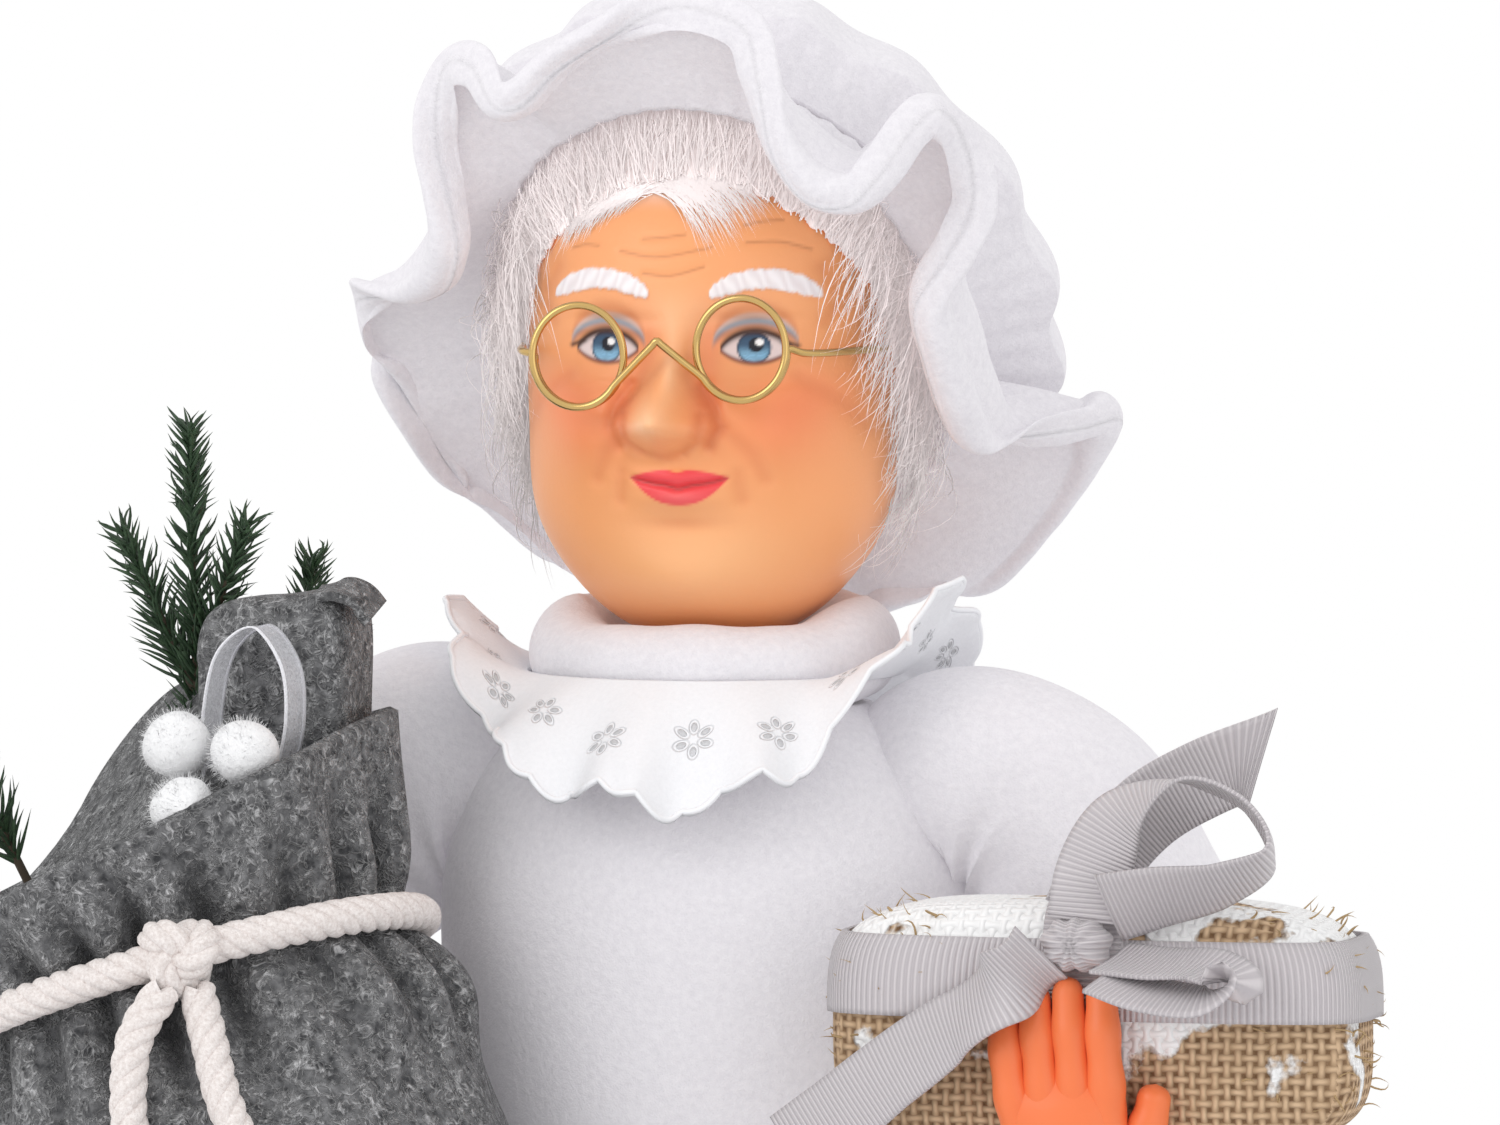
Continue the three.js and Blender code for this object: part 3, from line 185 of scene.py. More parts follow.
# Cord: twist, place of the knot, and the two tails from the knot
CORD_RADIUS = 3.4
CORD_LEAD = 15.0
CORD_YARNS = 4
CORD_CLEAR = 1.3
KNOT_CORD_RADIUS = 3.1
KNOT_CORD_LEAD = 13.0
KNOT_ANGLE = 0.26
TAIL_FRONT = [
    [3.1, -0.8, -6.4], [5.9, -3.5, -14], [9.4, -6.6, -24],
    [14.6, -8.5, -35], [18, -8.8, -47], [19.2, -9.1, -60],
]
TAIL_SIDE = [
    [-2, -4.2, -6], [-6, -7.6, -14], [-6.9, -9.1, -24],
    [-5.6, -10.9, -34], [-4.8, -11.5, -44], [-4.7, -11.8, -54],
]

# Contents, from the sack's neck. A sprig has a root, a lean and a length.
PARCEL_AT = [16, 8, 43.5]
PARCEL_HALF = np.array([14.5, 11.0, 25.0])
PARCEL_FLAP = [[9, -9, 25.4], [13, -8.5, 26], [16, -7, 25], [18.5, -6, 22]]
FLAP_WIDTH = 9.0
FLAP_THICK = 1.6
ORGANZA_LOOP = [
    [9.7, -7.5, 22], [7.7, -7.8, 36], [7.7, -8, 49], [10.7, -8.4, 59.5],
    [16.7, -8.6, 63.5], [21.7, -8.2, 57.5], [22.7, -7.8, 47], [19.7, -7.5, 34],
]
ORGANZA_WIDTH = 7.0
ORGANZA_THICK = 0.3
POMPOMS = [[17, -20, 42], [4, -17.5, 43], [8, -26, 32.2]]
POMPOM_RADIUS = 5.9
SPRIGS = [
    [[0, 10, 18], [-0.03, 0, 1], 79], [[-22, -7, 8], [-0.42, -0.28, 1], 72],
    [[9, 21.5, 18], [0.12, 0.1, 1], 56],
]


# Shapes as whole arrays of points

def unit(v):
    """Each vector divided by its own length."""
    return v / np.maximum(np.linalg.norm(v, axis=-1, keepdims=True), 1e-12)


def smooth(x, low, high):
    """A step that eases from 0 at low to 1 at high."""
    t = np.clip((x - low) / (high - low), 0, 1)
    return t * t * (3 - 2 * t)


def lerp(a, b, t):
    """The value a share t of the way from a to b."""
    return a + (b - a) * t


def bump(x, z, across, up, wide, tall):
    """A round bell of height 1 at (across, up)."""
    return np.exp(-((x - across) / wide) ** 2 - ((z - up) / tall) ** 2)


def circle(columns):
    """Angles of evenly spaced points round a ring, in one row."""
    return np.linspace(0, TURN, columns, endpoint=False)[None]


def directions(angle, up):
    """Directions from a middle: angle from the front towards +X, and angle above level."""
    return np.stack([np.sin(angle) * np.cos(up), -np.cos(angle) * np.cos(up), np.sin(up) + 0 * angle], -1)


def around(angle, wide, deep, height):
    """Points round an upright axis: half width, half depth and height at angles from the front towards +X."""
    return np.stack(np.broadcast_arrays(wide * np.sin(angle), -deep * np.cos(angle), height), -1)


def curve(points, at):
    """A smooth line through the points, a centripetal cubic in each span, at shares from 0 to 1."""
    p = np.asarray(points, float)
    ends = np.vstack([2 * p[0] - p[1], p, 2 * p[-1] - p[-2]])
    place = np.clip(np.asarray(at, float), 0, 1) * (len(p) - 1)
    span = np.minimum(place.astype(int), len(p) - 2)
    w = (place - span)[:, None]
    a, b, c, d = (ends[span + i] for i in range(4))
    ab, bc, cd = (np.maximum(np.linalg.norm(n - m, axis=1, keepdims=True) ** 0.5, 1e-4)
                  for m, n in ((a, b), (b, c), (c, d)))
    leave = ((b - a) / ab - (c - a) / (ab + bc) + (c - b) / bc) * bc
    reach = ((c - b) / bc - (d - b) / (bc + cd) + (d - c) / cd) * bc
    second = 3 * c - 3 * b - 2 * leave - reach
    third = 2 * b - 2 * c + leave + reach
    return b + w * leave + w ** 2 * second + w ** 3 * third


def run_of(path):
    """Distance along a line of points from its start to each of them."""
    return np.concatenate([[0], np.cumsum(np.linalg.norm(np.diff(path, axis=0), axis=1))])


def even(points, count):
    """The smooth line through the points again, with its points evenly spaced along it."""
    fine = curve(points, np.linspace(0, 1, 40 * len(points)))
    run = run_of(fine)
    at = np.linspace(0, run[-1], count)
    return np.stack([np.interp(at, run, fine[:, k]) for k in range(3)], 1)


def length_of(path):
    """The length of a line of points."""
    return float(run_of(path)[-1])


def frames(path, across):
    """Two directions across a line at each point, which turn as little as possible along it."""
    along = unit(np.gradient(path, axis=0))
    first = np.empty_like(path)
    last = np.asarray(across, float)
    for i, t in enumerate(along):
        last = last - t * (last @ t)
        last = last / np.linalg.norm(last)
        first[i] = last
    return first, np.cross(along, first)


def tube(path, radius, sides, across=(0, 0, 1)):
    """A circle carried along a line: rows along it, columns round it. The radius may change along it."""
    a, b = frames(path, across)
    turn = circle(sides)
    r = np.broadcast_to(np.asarray(radius, float), (len(path),))[:, None, None]
    return path[:, None] + r * (np.cos(turn)[..., None] * a[:, None] + np.sin(turn)[..., None] * b[:, None])


def closed_ends(grid):
    """The grid with a row drawn in to its middle at both ends, so that a tube is closed."""
    first, last = grid[:1], grid[-1:]
    return np.concatenate([lerp(first, first.mean(1, keepdims=True), 0.98), grid,
                           lerp(last, last.mean(1, keepdims=True), 0.98)])


def wall(outer, inner):
    """Outer rows and then the inner rows back again: a sheet with a thickness."""
    return np.concatenate([outer, inner[::-1]])


def ripple(points, size, seed):
    """A smooth random value from -1 to 1 at each point: a sum of sine waves in random directions."""
    rng = np.random.default_rng(seed)
    waves = rng.normal(size=(8, 3)) * (1.6 / size)
    phase = rng.uniform(0, TURN, 8)
    return np.sin(points @ waves.T + phase).sum(-1) / 4


def uneven(points, size, seed, amount, ways):
    """The points moved by a smooth random amount along the given directions."""
    return points + (ripple(points, size, seed) * amount)[..., None] * ways


def normals(grid):
    """Direction out of a grid's surface at each point. The grid is closed across its columns."""
    across = np.roll(grid, -1, 1) - np.roll(grid, 1, 1)
    return unit(np.cross(across, np.gradient(grid, axis=0)))


def rotate_z(points, angle):
    """The points turned about the upright axis through the origin."""
    c, s = math.cos(angle), math.sin(angle)
    return points @ np.array([[c, s, 0], [-s, c, 0], [0, 0, 1]])


# Meshes

def set_uv(mesh, uv):
    """The place of each face corner on the mesh's flat pattern."""
    mesh.uv_layers[0].data.foreach_set("uv", np.asarray(uv, np.float32).ravel())


def set_paint(mesh, paint):
    """The painted colour of each point."""
    layer = mesh.attributes.new("paint", "FLOAT_COLOR", "POINT")
    layer.data.foreach_set("color", np.asarray(paint, np.float32).ravel())


def mesh_object(name, points, faces, material, uv=None, paint=None):
    """An object at the origin from points in millimetres and an array of faces with equal corner counts."""
    mesh = bpy.data.meshes.new(name)
    count, corners = faces.shape
    mesh.vertices.add(len(points))
    mesh.vertices.foreach_set("co", (np.asarray(points, np.float32) * MM).ravel())
    mesh.loops.add(count * corners)
    mesh.loops.foreach_set("vertex_index", faces.astype(np.int32).ravel())
    mesh.polygons.add(count)
    mesh.polygons.foreach_set("loop_start", np.arange(0, count * corners, corners, dtype=np.int32))
    mesh.polygons.foreach_set("use_smooth", np.ones(count, bool))
    if uv is not None:
        mesh.uv_layers.new(name="UVMap")
        set_uv(mesh, uv)
    if paint is not None:
        set_paint(mesh, paint)
    mesh.update(calc_edges=True)
    mesh.validate()
    made = bpy.data.objects.new(name, mesh)
    bpy.context.scene.collection.objects.link(made)
    mesh.materials.append(material)
    return made


def grid_faces(rows, columns, close_rows=False, close_columns=False):
    """A grid's faces, with four corners each, and each corner's place over columns and rows from 0 to 1."""
    spans = rows if close_rows else rows - 1
    across = columns if close_columns else columns - 1
    i, j = (a.ravel() for a in np.meshgrid(np.arange(spans), np.arange(across), indexing="ij"))
    ring = [(i, j), (i, j + 1), (i + 1, j + 1), (i + 1, j)]
    faces = np.stack([(a % rows) * columns + b % columns for a, b in ring], 1)
    uv = np.stack([np.stack([b / across, a / spans], 1) for a, b in ring], 1)
    return faces, uv


def surface(name, grid, material, close_rows=False, close_columns=False, size=(1.0, 1.0), paint=None):
    """A mesh over a grid of points. Its UV runs over size millimetres: across the columns, along the rows."""
    rows, columns = grid.shape[:2]
    faces, uv = grid_faces(rows, columns, close_rows, close_columns)
    paint = None if paint is None else paint.reshape(-1, paint.shape[-1])
    return mesh_object(name, grid.reshape(-1, 3), faces, material, uv * np.asarray(size), paint)


def surfaces(name, grids, material):
    """One mesh from many equal tubes, an array of tubes x rows x columns x 3."""
    count, rows, columns = grids.shape[:3]
    faces, uv = grid_faces(rows, columns, False, True)
    step = (np.arange(count) * rows * columns)[:, None, None]
    return mesh_object(name, grids.reshape(-1, 3), (faces[None] + step).reshape(-1, 4), material,
                       np.tile(uv, (count, 1, 1)))


def side_uv(made):
    """A UV in millimetres for a boxy piece: each face takes the two axes of the side that it is turned to."""
    data = made.data
    corner, sizes = np.empty(len(data.loops), np.int32), np.empty(len(data.polygons), np.int32)
    place, facing = (np.empty((len(part), 3), np.float32) for part in (data.vertices, data.polygons))
    data.loops.foreach_get("vertex_index", corner)
    data.polygons.foreach_get("loop_total", sizes)
    data.vertices.foreach_get("co", place.ravel())
    data.polygons.foreach_get("normal", facing.ravel())
    axes = np.array([[1, 2], [0, 2], [0, 1]])[np.repeat(np.abs(facing).argmax(1), sizes)]
    flat = np.take_along_axis(place[corner] / MM, axes, 1)
    set_uv(data, flat)


def strands(roots, tips, bend, radius, rows, sides):
    """Many thin tapered tubes at once: each runs from its root to its tip and bows sideways by bend."""
    t = np.linspace(0, 1, rows)[None, :, None]
    path = lerp(roots[:, None], tips[:, None], t) + bend[:, None] * (4 * t * (1 - t))
    along = unit(np.gradient(path, axis=1))
    side = unit(np.cross(along, along[:, :1] * 0 + np.array([0.31, 0.52, 0.79])))
    other = np.cross(along, side)
    turn = circle(sides).T
    ring = np.cos(turn) * side[:, :, None] + np.sin(turn) * other[:, :, None]
    thick = np.asarray(radius).reshape(-1, 1, 1, 1) * (1.02 - t[..., None] ** 2)
    return path[:, :, None] + thick * ring


def squared_ball(half, power, columns, rows):
    """A ball with squared shoulders: it reaches where the powered shares of its half sizes sum to 1."""
    up = np.linspace(-math.pi / 2, math.pi / 2, rows + 2)[1:-1, None]
    ways = directions(circle(columns), up)
    return closed_ends(ways * (np.abs(ways / half) ** power).sum(-1, keepdims=True) ** (-1 / power))


def ribbon_grid(path, wide, width, thick, columns=9, curl=0.0, slant=0.0):
    """A flat strip carried along a line: columns over its width on one face and back on the other."""
    along = unit(np.gradient(path, axis=0))
    table = np.atleast_2d(np.asarray(wide, float))
    key = np.linspace(0, len(table) - 1, len(path))
    side = np.stack([np.interp(key, np.arange(len(table)), part) for part in table.T], 1)
    over = unit(side - along * (along * side).sum(1, keepdims=True))
    deep = np.cross(along, over)
    place = np.linspace(-0.5, 0.5, columns)
    face = place[:, None] * width * over[:, None] + (curl * (4 * place ** 2 - 1))[:, None] * deep[:, None]
    cut = slant * place * smooth(np.linspace(0, 1, len(path)), 0.8, 1)[:, None]
    top = path[:, None] + face + deep[:, None] * thick / 2 + cut[..., None] * along[:, None]
    return np.concatenate([top, (top - deep[:, None] * thick)[:, ::-1]], 1)


def ribbon(name, path, wide, width, thick, finish, size, columns=9, curl=0.0, slant=0.0):
    """A ribbon with a thickness; its UV runs over the width and back, and along its length."""
    grid = closed_ends(ribbon_grid(path, wide, width, thick, columns, curl, slant))
    made = surface(name, grid, finish, close_columns=True)
    uv = grid_faces(*grid.shape[:2], False, True)[1]
    edges = [0, columns - 1, columns, 2 * columns - 1, 2 * columns]
    there = np.interp(uv[..., 0] * 2 * columns, edges, [0, 1, 1, 0, 0])
    flat = np.stack([there * size[0], uv[..., 1] * size[1]], -1)
    set_uv(made.data, flat)
    return made


def settle(made, body, slot, *nodes):
    """The piece moves with a body and stands for these solids, which it hides. The slot is not used."""
    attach(made, body)
    if nodes:
        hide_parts(*nodes)
    return made


# Materials

# Lace flowers: one in each cell along the collar, every other one farther out, with petals round its middle
FLOWER_CELL = 16.3
FLOWER_MIDDLE = 15.0
FLOWER_STAGGER = 3.0
PETAL_AT = 2.7
PETAL_NARROW = 0.62


class Net:
    """Short calls that add shader nodes to a tree and link them."""

    def __init__(self, tree):
        self.tree = tree

    def node(self, kind, inputs=(), **settings):
        """A node with its settings, each input linked to a socket or set to a value."""
        made = self.tree.nodes.new(kind)
        for key, value in settings.items():
            setattr(made, key, value)
        for key, value in dict(inputs).items():
            if isinstance(value, bpy.types.NodeSocket):
                self.tree.links.new(value, made.inputs[key])
            else:
                made.inputs[key].default_value = value
        return made

    def math(self, operation, a, b=0.0):
        """One step of arithmetic."""
        return self.node("ShaderNodeMath", {0: a, 1: b}, operation=operation).outputs[0]

    def noise(self, vector, scale, detail=2.0):
        """Cloudy noise from about 0.2 to 0.8."""
        given = {"Vector": vector, "Scale": scale, "Detail": detail}
        return self.node("ShaderNodeTexNoise", given).outputs[0]

    def ramp(self, value, low, high, to_low=0.0, to_high=1.0):
        """The value moved from one range to another and held inside it."""
        return self.node("ShaderNodeMapRange", {0: value, 1: low, 2: high, 3: to_low, 4: to_high}).outputs[0]

    def blend(self, share, a, b):
        """A colour between two colours."""
        return self.node("ShaderNodeMix", {0: share, 6: a, 7: b}, data_type="RGBA").outputs[2]

    def group(self, tree, inputs):
        """A shared group used as one node."""
        return self.node("ShaderNodeGroup", inputs, node_tree=tree).outputs

    def parts(self, vector):
        """The three numbers of a vector."""
        return self.node("ShaderNodeSeparateXYZ", {0: vector}).outputs

    def length(self, a, b):
        """The long side of a right triangle with these short sides."""
        return self.math("SQRT", self.math("ADD", self.math("MULTIPLY", a, a), self.math("MULTIPLY", b, b)))

    def link(self, value, socket):
        """A link from a value to an input."""
        self.tree.links.new(value, socket)


def node_group(name, inputs, outputs, build):
    """A shared shader node group with named sockets, made once: build links its inputs to its outputs."""
    tree = bpy.data.node_groups.get(name)
    if tree:
        return tree
    tree = bpy.data.node_groups.new(name, "ShaderNodeTree")
    for label, value in inputs.items():
        kind = "NodeSocketVector" if value is None else "NodeSocketFloat"
        socket = tree.interface.new_socket(label, in_out="INPUT", socket_type=kind)
        if value is not None:
            socket.default_value = value
    for label in outputs:
        tree.interface.new_socket(label, in_out="OUTPUT", socket_type="NodeSocketFloat")
    entry = tree.nodes.new("NodeGroupInput").outputs
    leave = tree.nodes.new("NodeGroupOutput").inputs
    for label, value in build(Net(tree), entry).items():
        tree.links.new(value, leave[label])
    return tree


def napped():
    """Brushed cloth: coarse tufts with finer fibres on them."""
    def build(net, given):
        scale = net.math("DIVIDE", 1000.0, given["Tuft"])
        coarse = net.noise(given["Vector"], scale)
        fine = net.noise(given["Vector"], net.math("MULTIPLY", scale, 3.7), 4.0)
        height = net.math("ADD", net.math("MULTIPLY", coarse, 0.6), net.math("MULTIPLY", fine, 0.4))
        return {"Tone": net.ramp(height, 0.35, 0.65), "Height": height}
    return node_group("Napped cloth", {"Vector": None, "Tuft": 1.5}, ["Tone", "Height"], build)


def heathered():
    """Felt of mixed fibres: cloudy grey patches and pale curly hairs where a swirled noise is at half."""
    def build(net, given):
        cloud = net.noise(given["Vector"], 480.0, 6.0)
        hairs = 0.0
        for scale, shift, width in ((260.0, 0.0, 0.055), (340.0, 3.7, 0.06), (450.0, 9.1, 0.07)):
            place = {0: given["Vector"], 1: (shift, 0.3 * shift, 0.0)}
            moved = net.node("ShaderNodeMapping", place).outputs[0]
            swirl = {"Vector": moved, "Scale": scale, "Detail": 1.5, "Distortion": 1.6}
            swirled = net.node("ShaderNodeTexNoise", swirl).outputs[0]
            off = net.math("ABSOLUTE", net.math("SUBTRACT", swirled, 0.5))
            broken = net.ramp(net.noise(moved, 0.9 * scale, 1.0), 0.42, 0.58)
            drawn = net.math("MULTIPLY", net.ramp(off, 0.0, width, 1.0, 0.0), broken)
            hairs = net.math("MAXIMUM", hairs, drawn)
        tone = net.math("ADD", net.ramp(cloud, 0.34, 0.70, 0.0, 0.34), net.math("MULTIPLY", hairs, 0.8))
        return {"Tone": tone, "Height": net.math("ADD", cloud, net.math("MULTIPLY", hairs, 0.8))}
    return node_group("Heathered felt", {"Vector": None}, ["Tone", "Height"], build)


def woven():
    """Plain weave on a millimetre UV: round threads that pass over and under each other."""
    def build(net, given):
        part = net.parts(given["Vector"])
        sway = net.noise(given["Vector"], 0.12, 1.0)
        x, y = (net.math("DIVIDE", net.math("ADD", part[k], sway), given["Pitch"]) for k in (0, 1))
        waves = [net.math("SINE", net.math("MULTIPLY", v, math.pi)) for v in (x, y)]
        over = net.math("MULTIPLY_ADD", net.math("MULTIPLY", waves[0], waves[1]), 0.5)
        over.node.inputs[2].default_value = 0.5
        under = net.math("SUBTRACT", 1.0, over)
        warp, weft = (net.math("ABSOLUTE", w) for w in waves)
        height = net.math("MAXIMUM", net.math("MULTIPLY", warp, net.ramp(over, 0.0, 1.0, 0.55, 1.0)),
                          net.math("MULTIPLY", weft, net.ramp(under, 0.0, 1.0, 0.55, 1.0)))
        return {"Height": height}
    return node_group("Plain weave", {"Vector": None, "Pitch": 1.6}, ["Height"], build)


def ribbed():
    """Ribs across a ribbon on a millimetre UV."""
    def build(net, given):
        along = net.parts(given["Vector"])[1]
        wave = net.math("SINE", net.math("MULTIPLY", net.math("DIVIDE", along, given["Pitch"]), TURN))
        return {"Height": net.ramp(wave, -1.0, 1.0)}
    return node_group("Grosgrain ribs", {"Vector": None, "Pitch": 1.2}, ["Height"], build)


def eyelets():
    """Flowers of six pierced petals with raised rims, one in each cell of a millimetre UV."""
    def build(net, given):
        part = net.parts(given["Vector"])
        cell = net.math("DIVIDE", part[0], given["Cell"])
        odd = net.math("PINGPONG", net.math("FLOOR", cell), 1.0)
        x = net.math("MULTIPLY", net.math("SUBTRACT", net.math("FRACT", cell), 0.5), given["Cell"])
        middle = net.math("ADD", given["Middle"], net.math("MULTIPLY", odd, FLOWER_STAGGER))
        y = net.math("SUBTRACT", part[1], middle)
        round_it = net.math("ADD", net.math("ARCTAN2", y, x), math.pi)
        reach = net.length(x, y)
        sixth = TURN / 6
        part_way = net.math("FRACT", net.math("DIVIDE", round_it, sixth))
        fold = net.math("SUBTRACT", net.math("MULTIPLY", part_way, sixth), sixth / 2)
        long = net.math("SUBTRACT", net.math("MULTIPLY", reach, net.math("COSINE", fold)), PETAL_AT)
        wide = net.math("DIVIDE", net.math("MULTIPLY", reach, net.math("SINE", fold)), PETAL_NARROW)
        off = net.length(long, wide)
        rim = net.math("MULTIPLY", net.ramp(off, 0.85, 1.1), net.ramp(off, 1.9, 1.5))
        return {"Cloth": net.ramp(off, 0.8, 0.95, 0.6, 1.0), "Rim": rim}
    given = {"Vector": None, "Cell": FLOWER_CELL, "Middle": FLOWER_MIDDLE}
    return node_group("Eyelet flowers", given, ["Cloth", "Rim"], build)


def material(name, color, roughness, build=None, **constants):
    """A material made once: constants go on the shader's own sockets, and build adds its nodes."""
    made = bpy.data.materials.get(name)
    if made:
        return made
    made = bpy.data.materials.new(name)
    made.use_nodes = True
    shader = made.node_tree.nodes["Principled BSDF"].inputs
    shader["Base Color"].default_value = (*color, 1.0)
    shader["Roughness"].default_value = roughness
    for key, value in constants.items():
        shader[key.replace("_", " ")].default_value = value
    if build:
        net = Net(made.node_tree)
        place = net.node("ShaderNodeTexCoord").outputs
        build(net, shader, place)
    return made


def raise_surface(net, shader, height, depth):
    """Bumps of a depth in millimetres from a height."""
    bumps = net.node("ShaderNodeBump", {"Height": height, "Distance": depth * MM, "Strength": 1.0})
    net.link(bumps.outputs[0], shader["Normal"])


def cloth(name, dark, light, tuft, depth, roughness=0.95, **constants):
    """A napped cloth in a colour that varies a little."""
    def build(net, shader, place):
        nap = net.group(napped(), {"Vector": place["Object"], "Tuft": tuft})
        net.link(net.blend(nap["Tone"], (*dark, 1), (*light, 1)), shader["Base Color"])
        raise_surface(net, shader, nap["Height"], depth)
    return material(name, light, roughness, build, **constants)


def fleece():
    """White napped fleece with a faint painted glow that lifts its shade."""
    # Painted glow: a faint emission lifts the fleece where it lies in shade
    return cloth("White fleece", (0.68, 0.66, 0.695), (0.75, 0.73, 0.76), 1.3, 0.3, Sheen_Weight=0.2,
                 Emission_Color=(0.93, 0.90, 0.94, 1), Emission_Strength=0.085)


def felt():
    """Grey heather felt, darkened by painted shade where the paint attribute marks a crease."""
    def build(net, shader, place):
        mixed = net.group(heathered(), {"Vector": place["Object"]})
        # Painted shade: the felt darkens where its paint attribute marks a crease
        crease = net.node("ShaderNodeAttribute", attribute_name="paint").outputs["Fac"]
        tone = net.math("MULTIPLY", mixed["Tone"], net.ramp(crease, 0.0, 0.8, 1.0, 0.2))
        grey = net.blend(tone, (0.03, 0.031, 0.034, 1), (0.55, 0.55, 0.56, 1))
        net.link(grey, shader["Base Color"])
        raise_surface(net, shader, mixed["Height"], 1.2)
    return material("Heather felt", (0.16, 0.16, 0.165), 0.97, build, Sheen_Weight=0.1)


def lace():
    """White cotton with pierced and embroidered flowers."""
    def build(net, shader, place):
        flowers = net.group(eyelets(), {"Vector": place["UV"]})
        nap = net.group(napped(), {"Vector": place["Object"], "Tuft": 0.7})
        height = net.math("ADD", net.math("MULTIPLY", nap["Height"], 0.3), flowers["Rim"])
        tone = net.math("MULTIPLY", nap["Tone"], 0.5)
        white = net.blend(tone, (0.82, 0.825, 0.85, 1), (0.90, 0.905, 0.93, 1))
        net.link(white, shader["Base Color"])
        net.link(flowers["Cloth"], shader["Alpha"])
        raise_surface(net, shader, height, 0.3)
    return material("Eyelet lace", (0.88, 0.88, 0.87), 0.8, build)


def vinyl():
    """Soft vinyl in the painted colour of each point."""
    def build(net, shader, place):
        paint = net.node("ShaderNodeAttribute", attribute_name="paint")
        net.link(paint.outputs["Color"], shader["Base Color"])
        raise_surface(net, shader, net.noise(place["Object"], 900.0, 2.0), 0.05)
    return material("Painted vinyl", (0.9, 0.5, 0.28), 0.40, build, Subsurface_Weight=0.06,
                    Subsurface_Radius=(0.003, 0.0015, 0.0008), Specular_IOR_Level=0.35, Coat_Weight=0.05)


def burlap():
    """Coarse jute weave with flakes of white paint, thickest on top."""
    def build(net, shader, place):
        weave = net.group(woven(), {"Vector": place["UV"], "Pitch": 2.0})
        cloud = net.noise(place["Object"], 300.0, 4.0)
        jute = net.blend(net.ramp(weave["Height"], 0.35, 0.95), (0.17, 0.09, 0.04, 1), (0.66, 0.47, 0.30, 1))
        jute = net.blend(net.ramp(cloud, 0.35, 0.75, 0.0, 0.45), jute, (0.46, 0.30, 0.17, 1))
        thicker = net.ramp(net.parts(place["Object"])[2], 0.415, 0.452, -0.12, 0.16)
        patches = net.math("ADD", net.noise(place["Object"], 75.0, 5.0), thicker)
        snow = net.ramp(patches, 0.56, 0.6)
        net.link(net.blend(snow, jute, (0.9, 0.9, 0.9, 1)), shader["Base Color"])
        raise_surface(net, shader, net.math("ADD", weave["Height"], snow), 0.6)
    return material("Jute burlap", (0.4, 0.28, 0.15), 0.95, build)


def grosgrain():
    """Silver grey ribbed ribbon."""
    def build(net, shader, place):
        ribs = net.group(ribbed(), {"Vector": place["UV"], "Pitch": 0.85})
        silver = net.blend(ribs["Height"], (0.49, 0.455, 0.475, 1), (0.63, 0.59, 0.605, 1))
        net.link(silver, shader["Base Color"])
        raise_surface(net, shader, ribs["Height"], 0.25)
    return material("Grosgrain", (0.54, 0.52, 0.54), 0.45, build, Sheen_Weight=0.2)


def organza():
    """Sheer white ribbon with dense edges."""
    def build(net, shader, place):
        across = net.parts(place["UV"])[0]
        edge = net.ramp(net.math("ABSOLUTE", net.math("SUBTRACT", across, 0.5)), 0.39, 0.42)
        threads = net.noise(place["Object"], 2400.0, 1.0)
        sheer = net.math("ADD", net.ramp(threads, 0.3, 0.7, 0.25, 0.5), net.math("MULTIPLY", edge, 0.55))
        net.link(sheer, shader["Alpha"])
    return material("Organza", (0.86, 0.86, 0.9), 0.4, build)


def cotton():
    """Natural cotton cord."""
    return cloth("Cotton cord", (0.70, 0.63, 0.60), (0.93, 0.88, 0.86), 0.6, 0.35, 0.9)


def hair():
    """Fine white fibre, streaked along its length on a UV that runs across it and along it, with a faint
    painted glow that lifts its shade.
    """
    def build(net, shader, place):
        stretch = net.node("ShaderNodeMapping", {0: place["UV"], 3: (420.0, 5.0, 1.0)}).outputs[0]
        streak = net.ramp(net.noise(stretch, 1.0, 3.0), 0.3, 0.68)
        white = net.blend(streak, (0.85, 0.735, 0.72, 1), (0.965, 0.885, 0.875, 1))
        net.link(white, shader["Base Color"])
        raise_surface(net, shader, streak, 0.08)
    # Painted glow: a faint emission lifts the fibre where it lies in shade
    return material("White fibre", (0.91, 0.81, 0.80), 0.7, build, Emission_Color=(0.95, 0.84, 0.83, 1),
                    Emission_Strength=0.16)


def wisp():
    """Loose strands of white fibre with a faint painted glow that lifts their shade."""
    # Painted glow: a faint emission lifts the strands where they lie in shade
    return material("Loose fibre", (0.965, 0.885, 0.875), 0.8, Emission_Color=(0.97, 0.87, 0.86, 1),
                    Emission_Strength=0.22)


# Settings

class FigureStage(PropertyGroup):
    """Where the camera stands and how bright the room is."""

    azimuth: FloatProperty(name="Azimuth", description="Camera's turn towards the figure's left",
                           default=math.radians(15), subtype="ANGLE")
    elevation: FloatProperty(name="Elevation", description="Camera's height above level",
                             default=math.radians(3), subtype="ANGLE")
    distance: FloatProperty(name="Distance", description="Camera's distance from the figure",
                            default=2.2, unit="LENGTH")
    width: FloatProperty(name="Picture width", description="Width seen at the figure",
                         default=0.270, unit="LENGTH")
    shift: FloatProperty(name="Sideways", description="Picture's middle from the figure's axis",
                         default=0.0063, unit="LENGTH")
    height: FloatProperty(name="Height", description="Height of the picture's middle",
                          default=0.509, unit="LENGTH")
    room: FloatProperty(name="Room light", description="Strength of the even light", default=1.0, min=0)
    key: FloatProperty(name="Key light", description="Power of the brighter soft light",
                       default=5.0, unit="POWER")


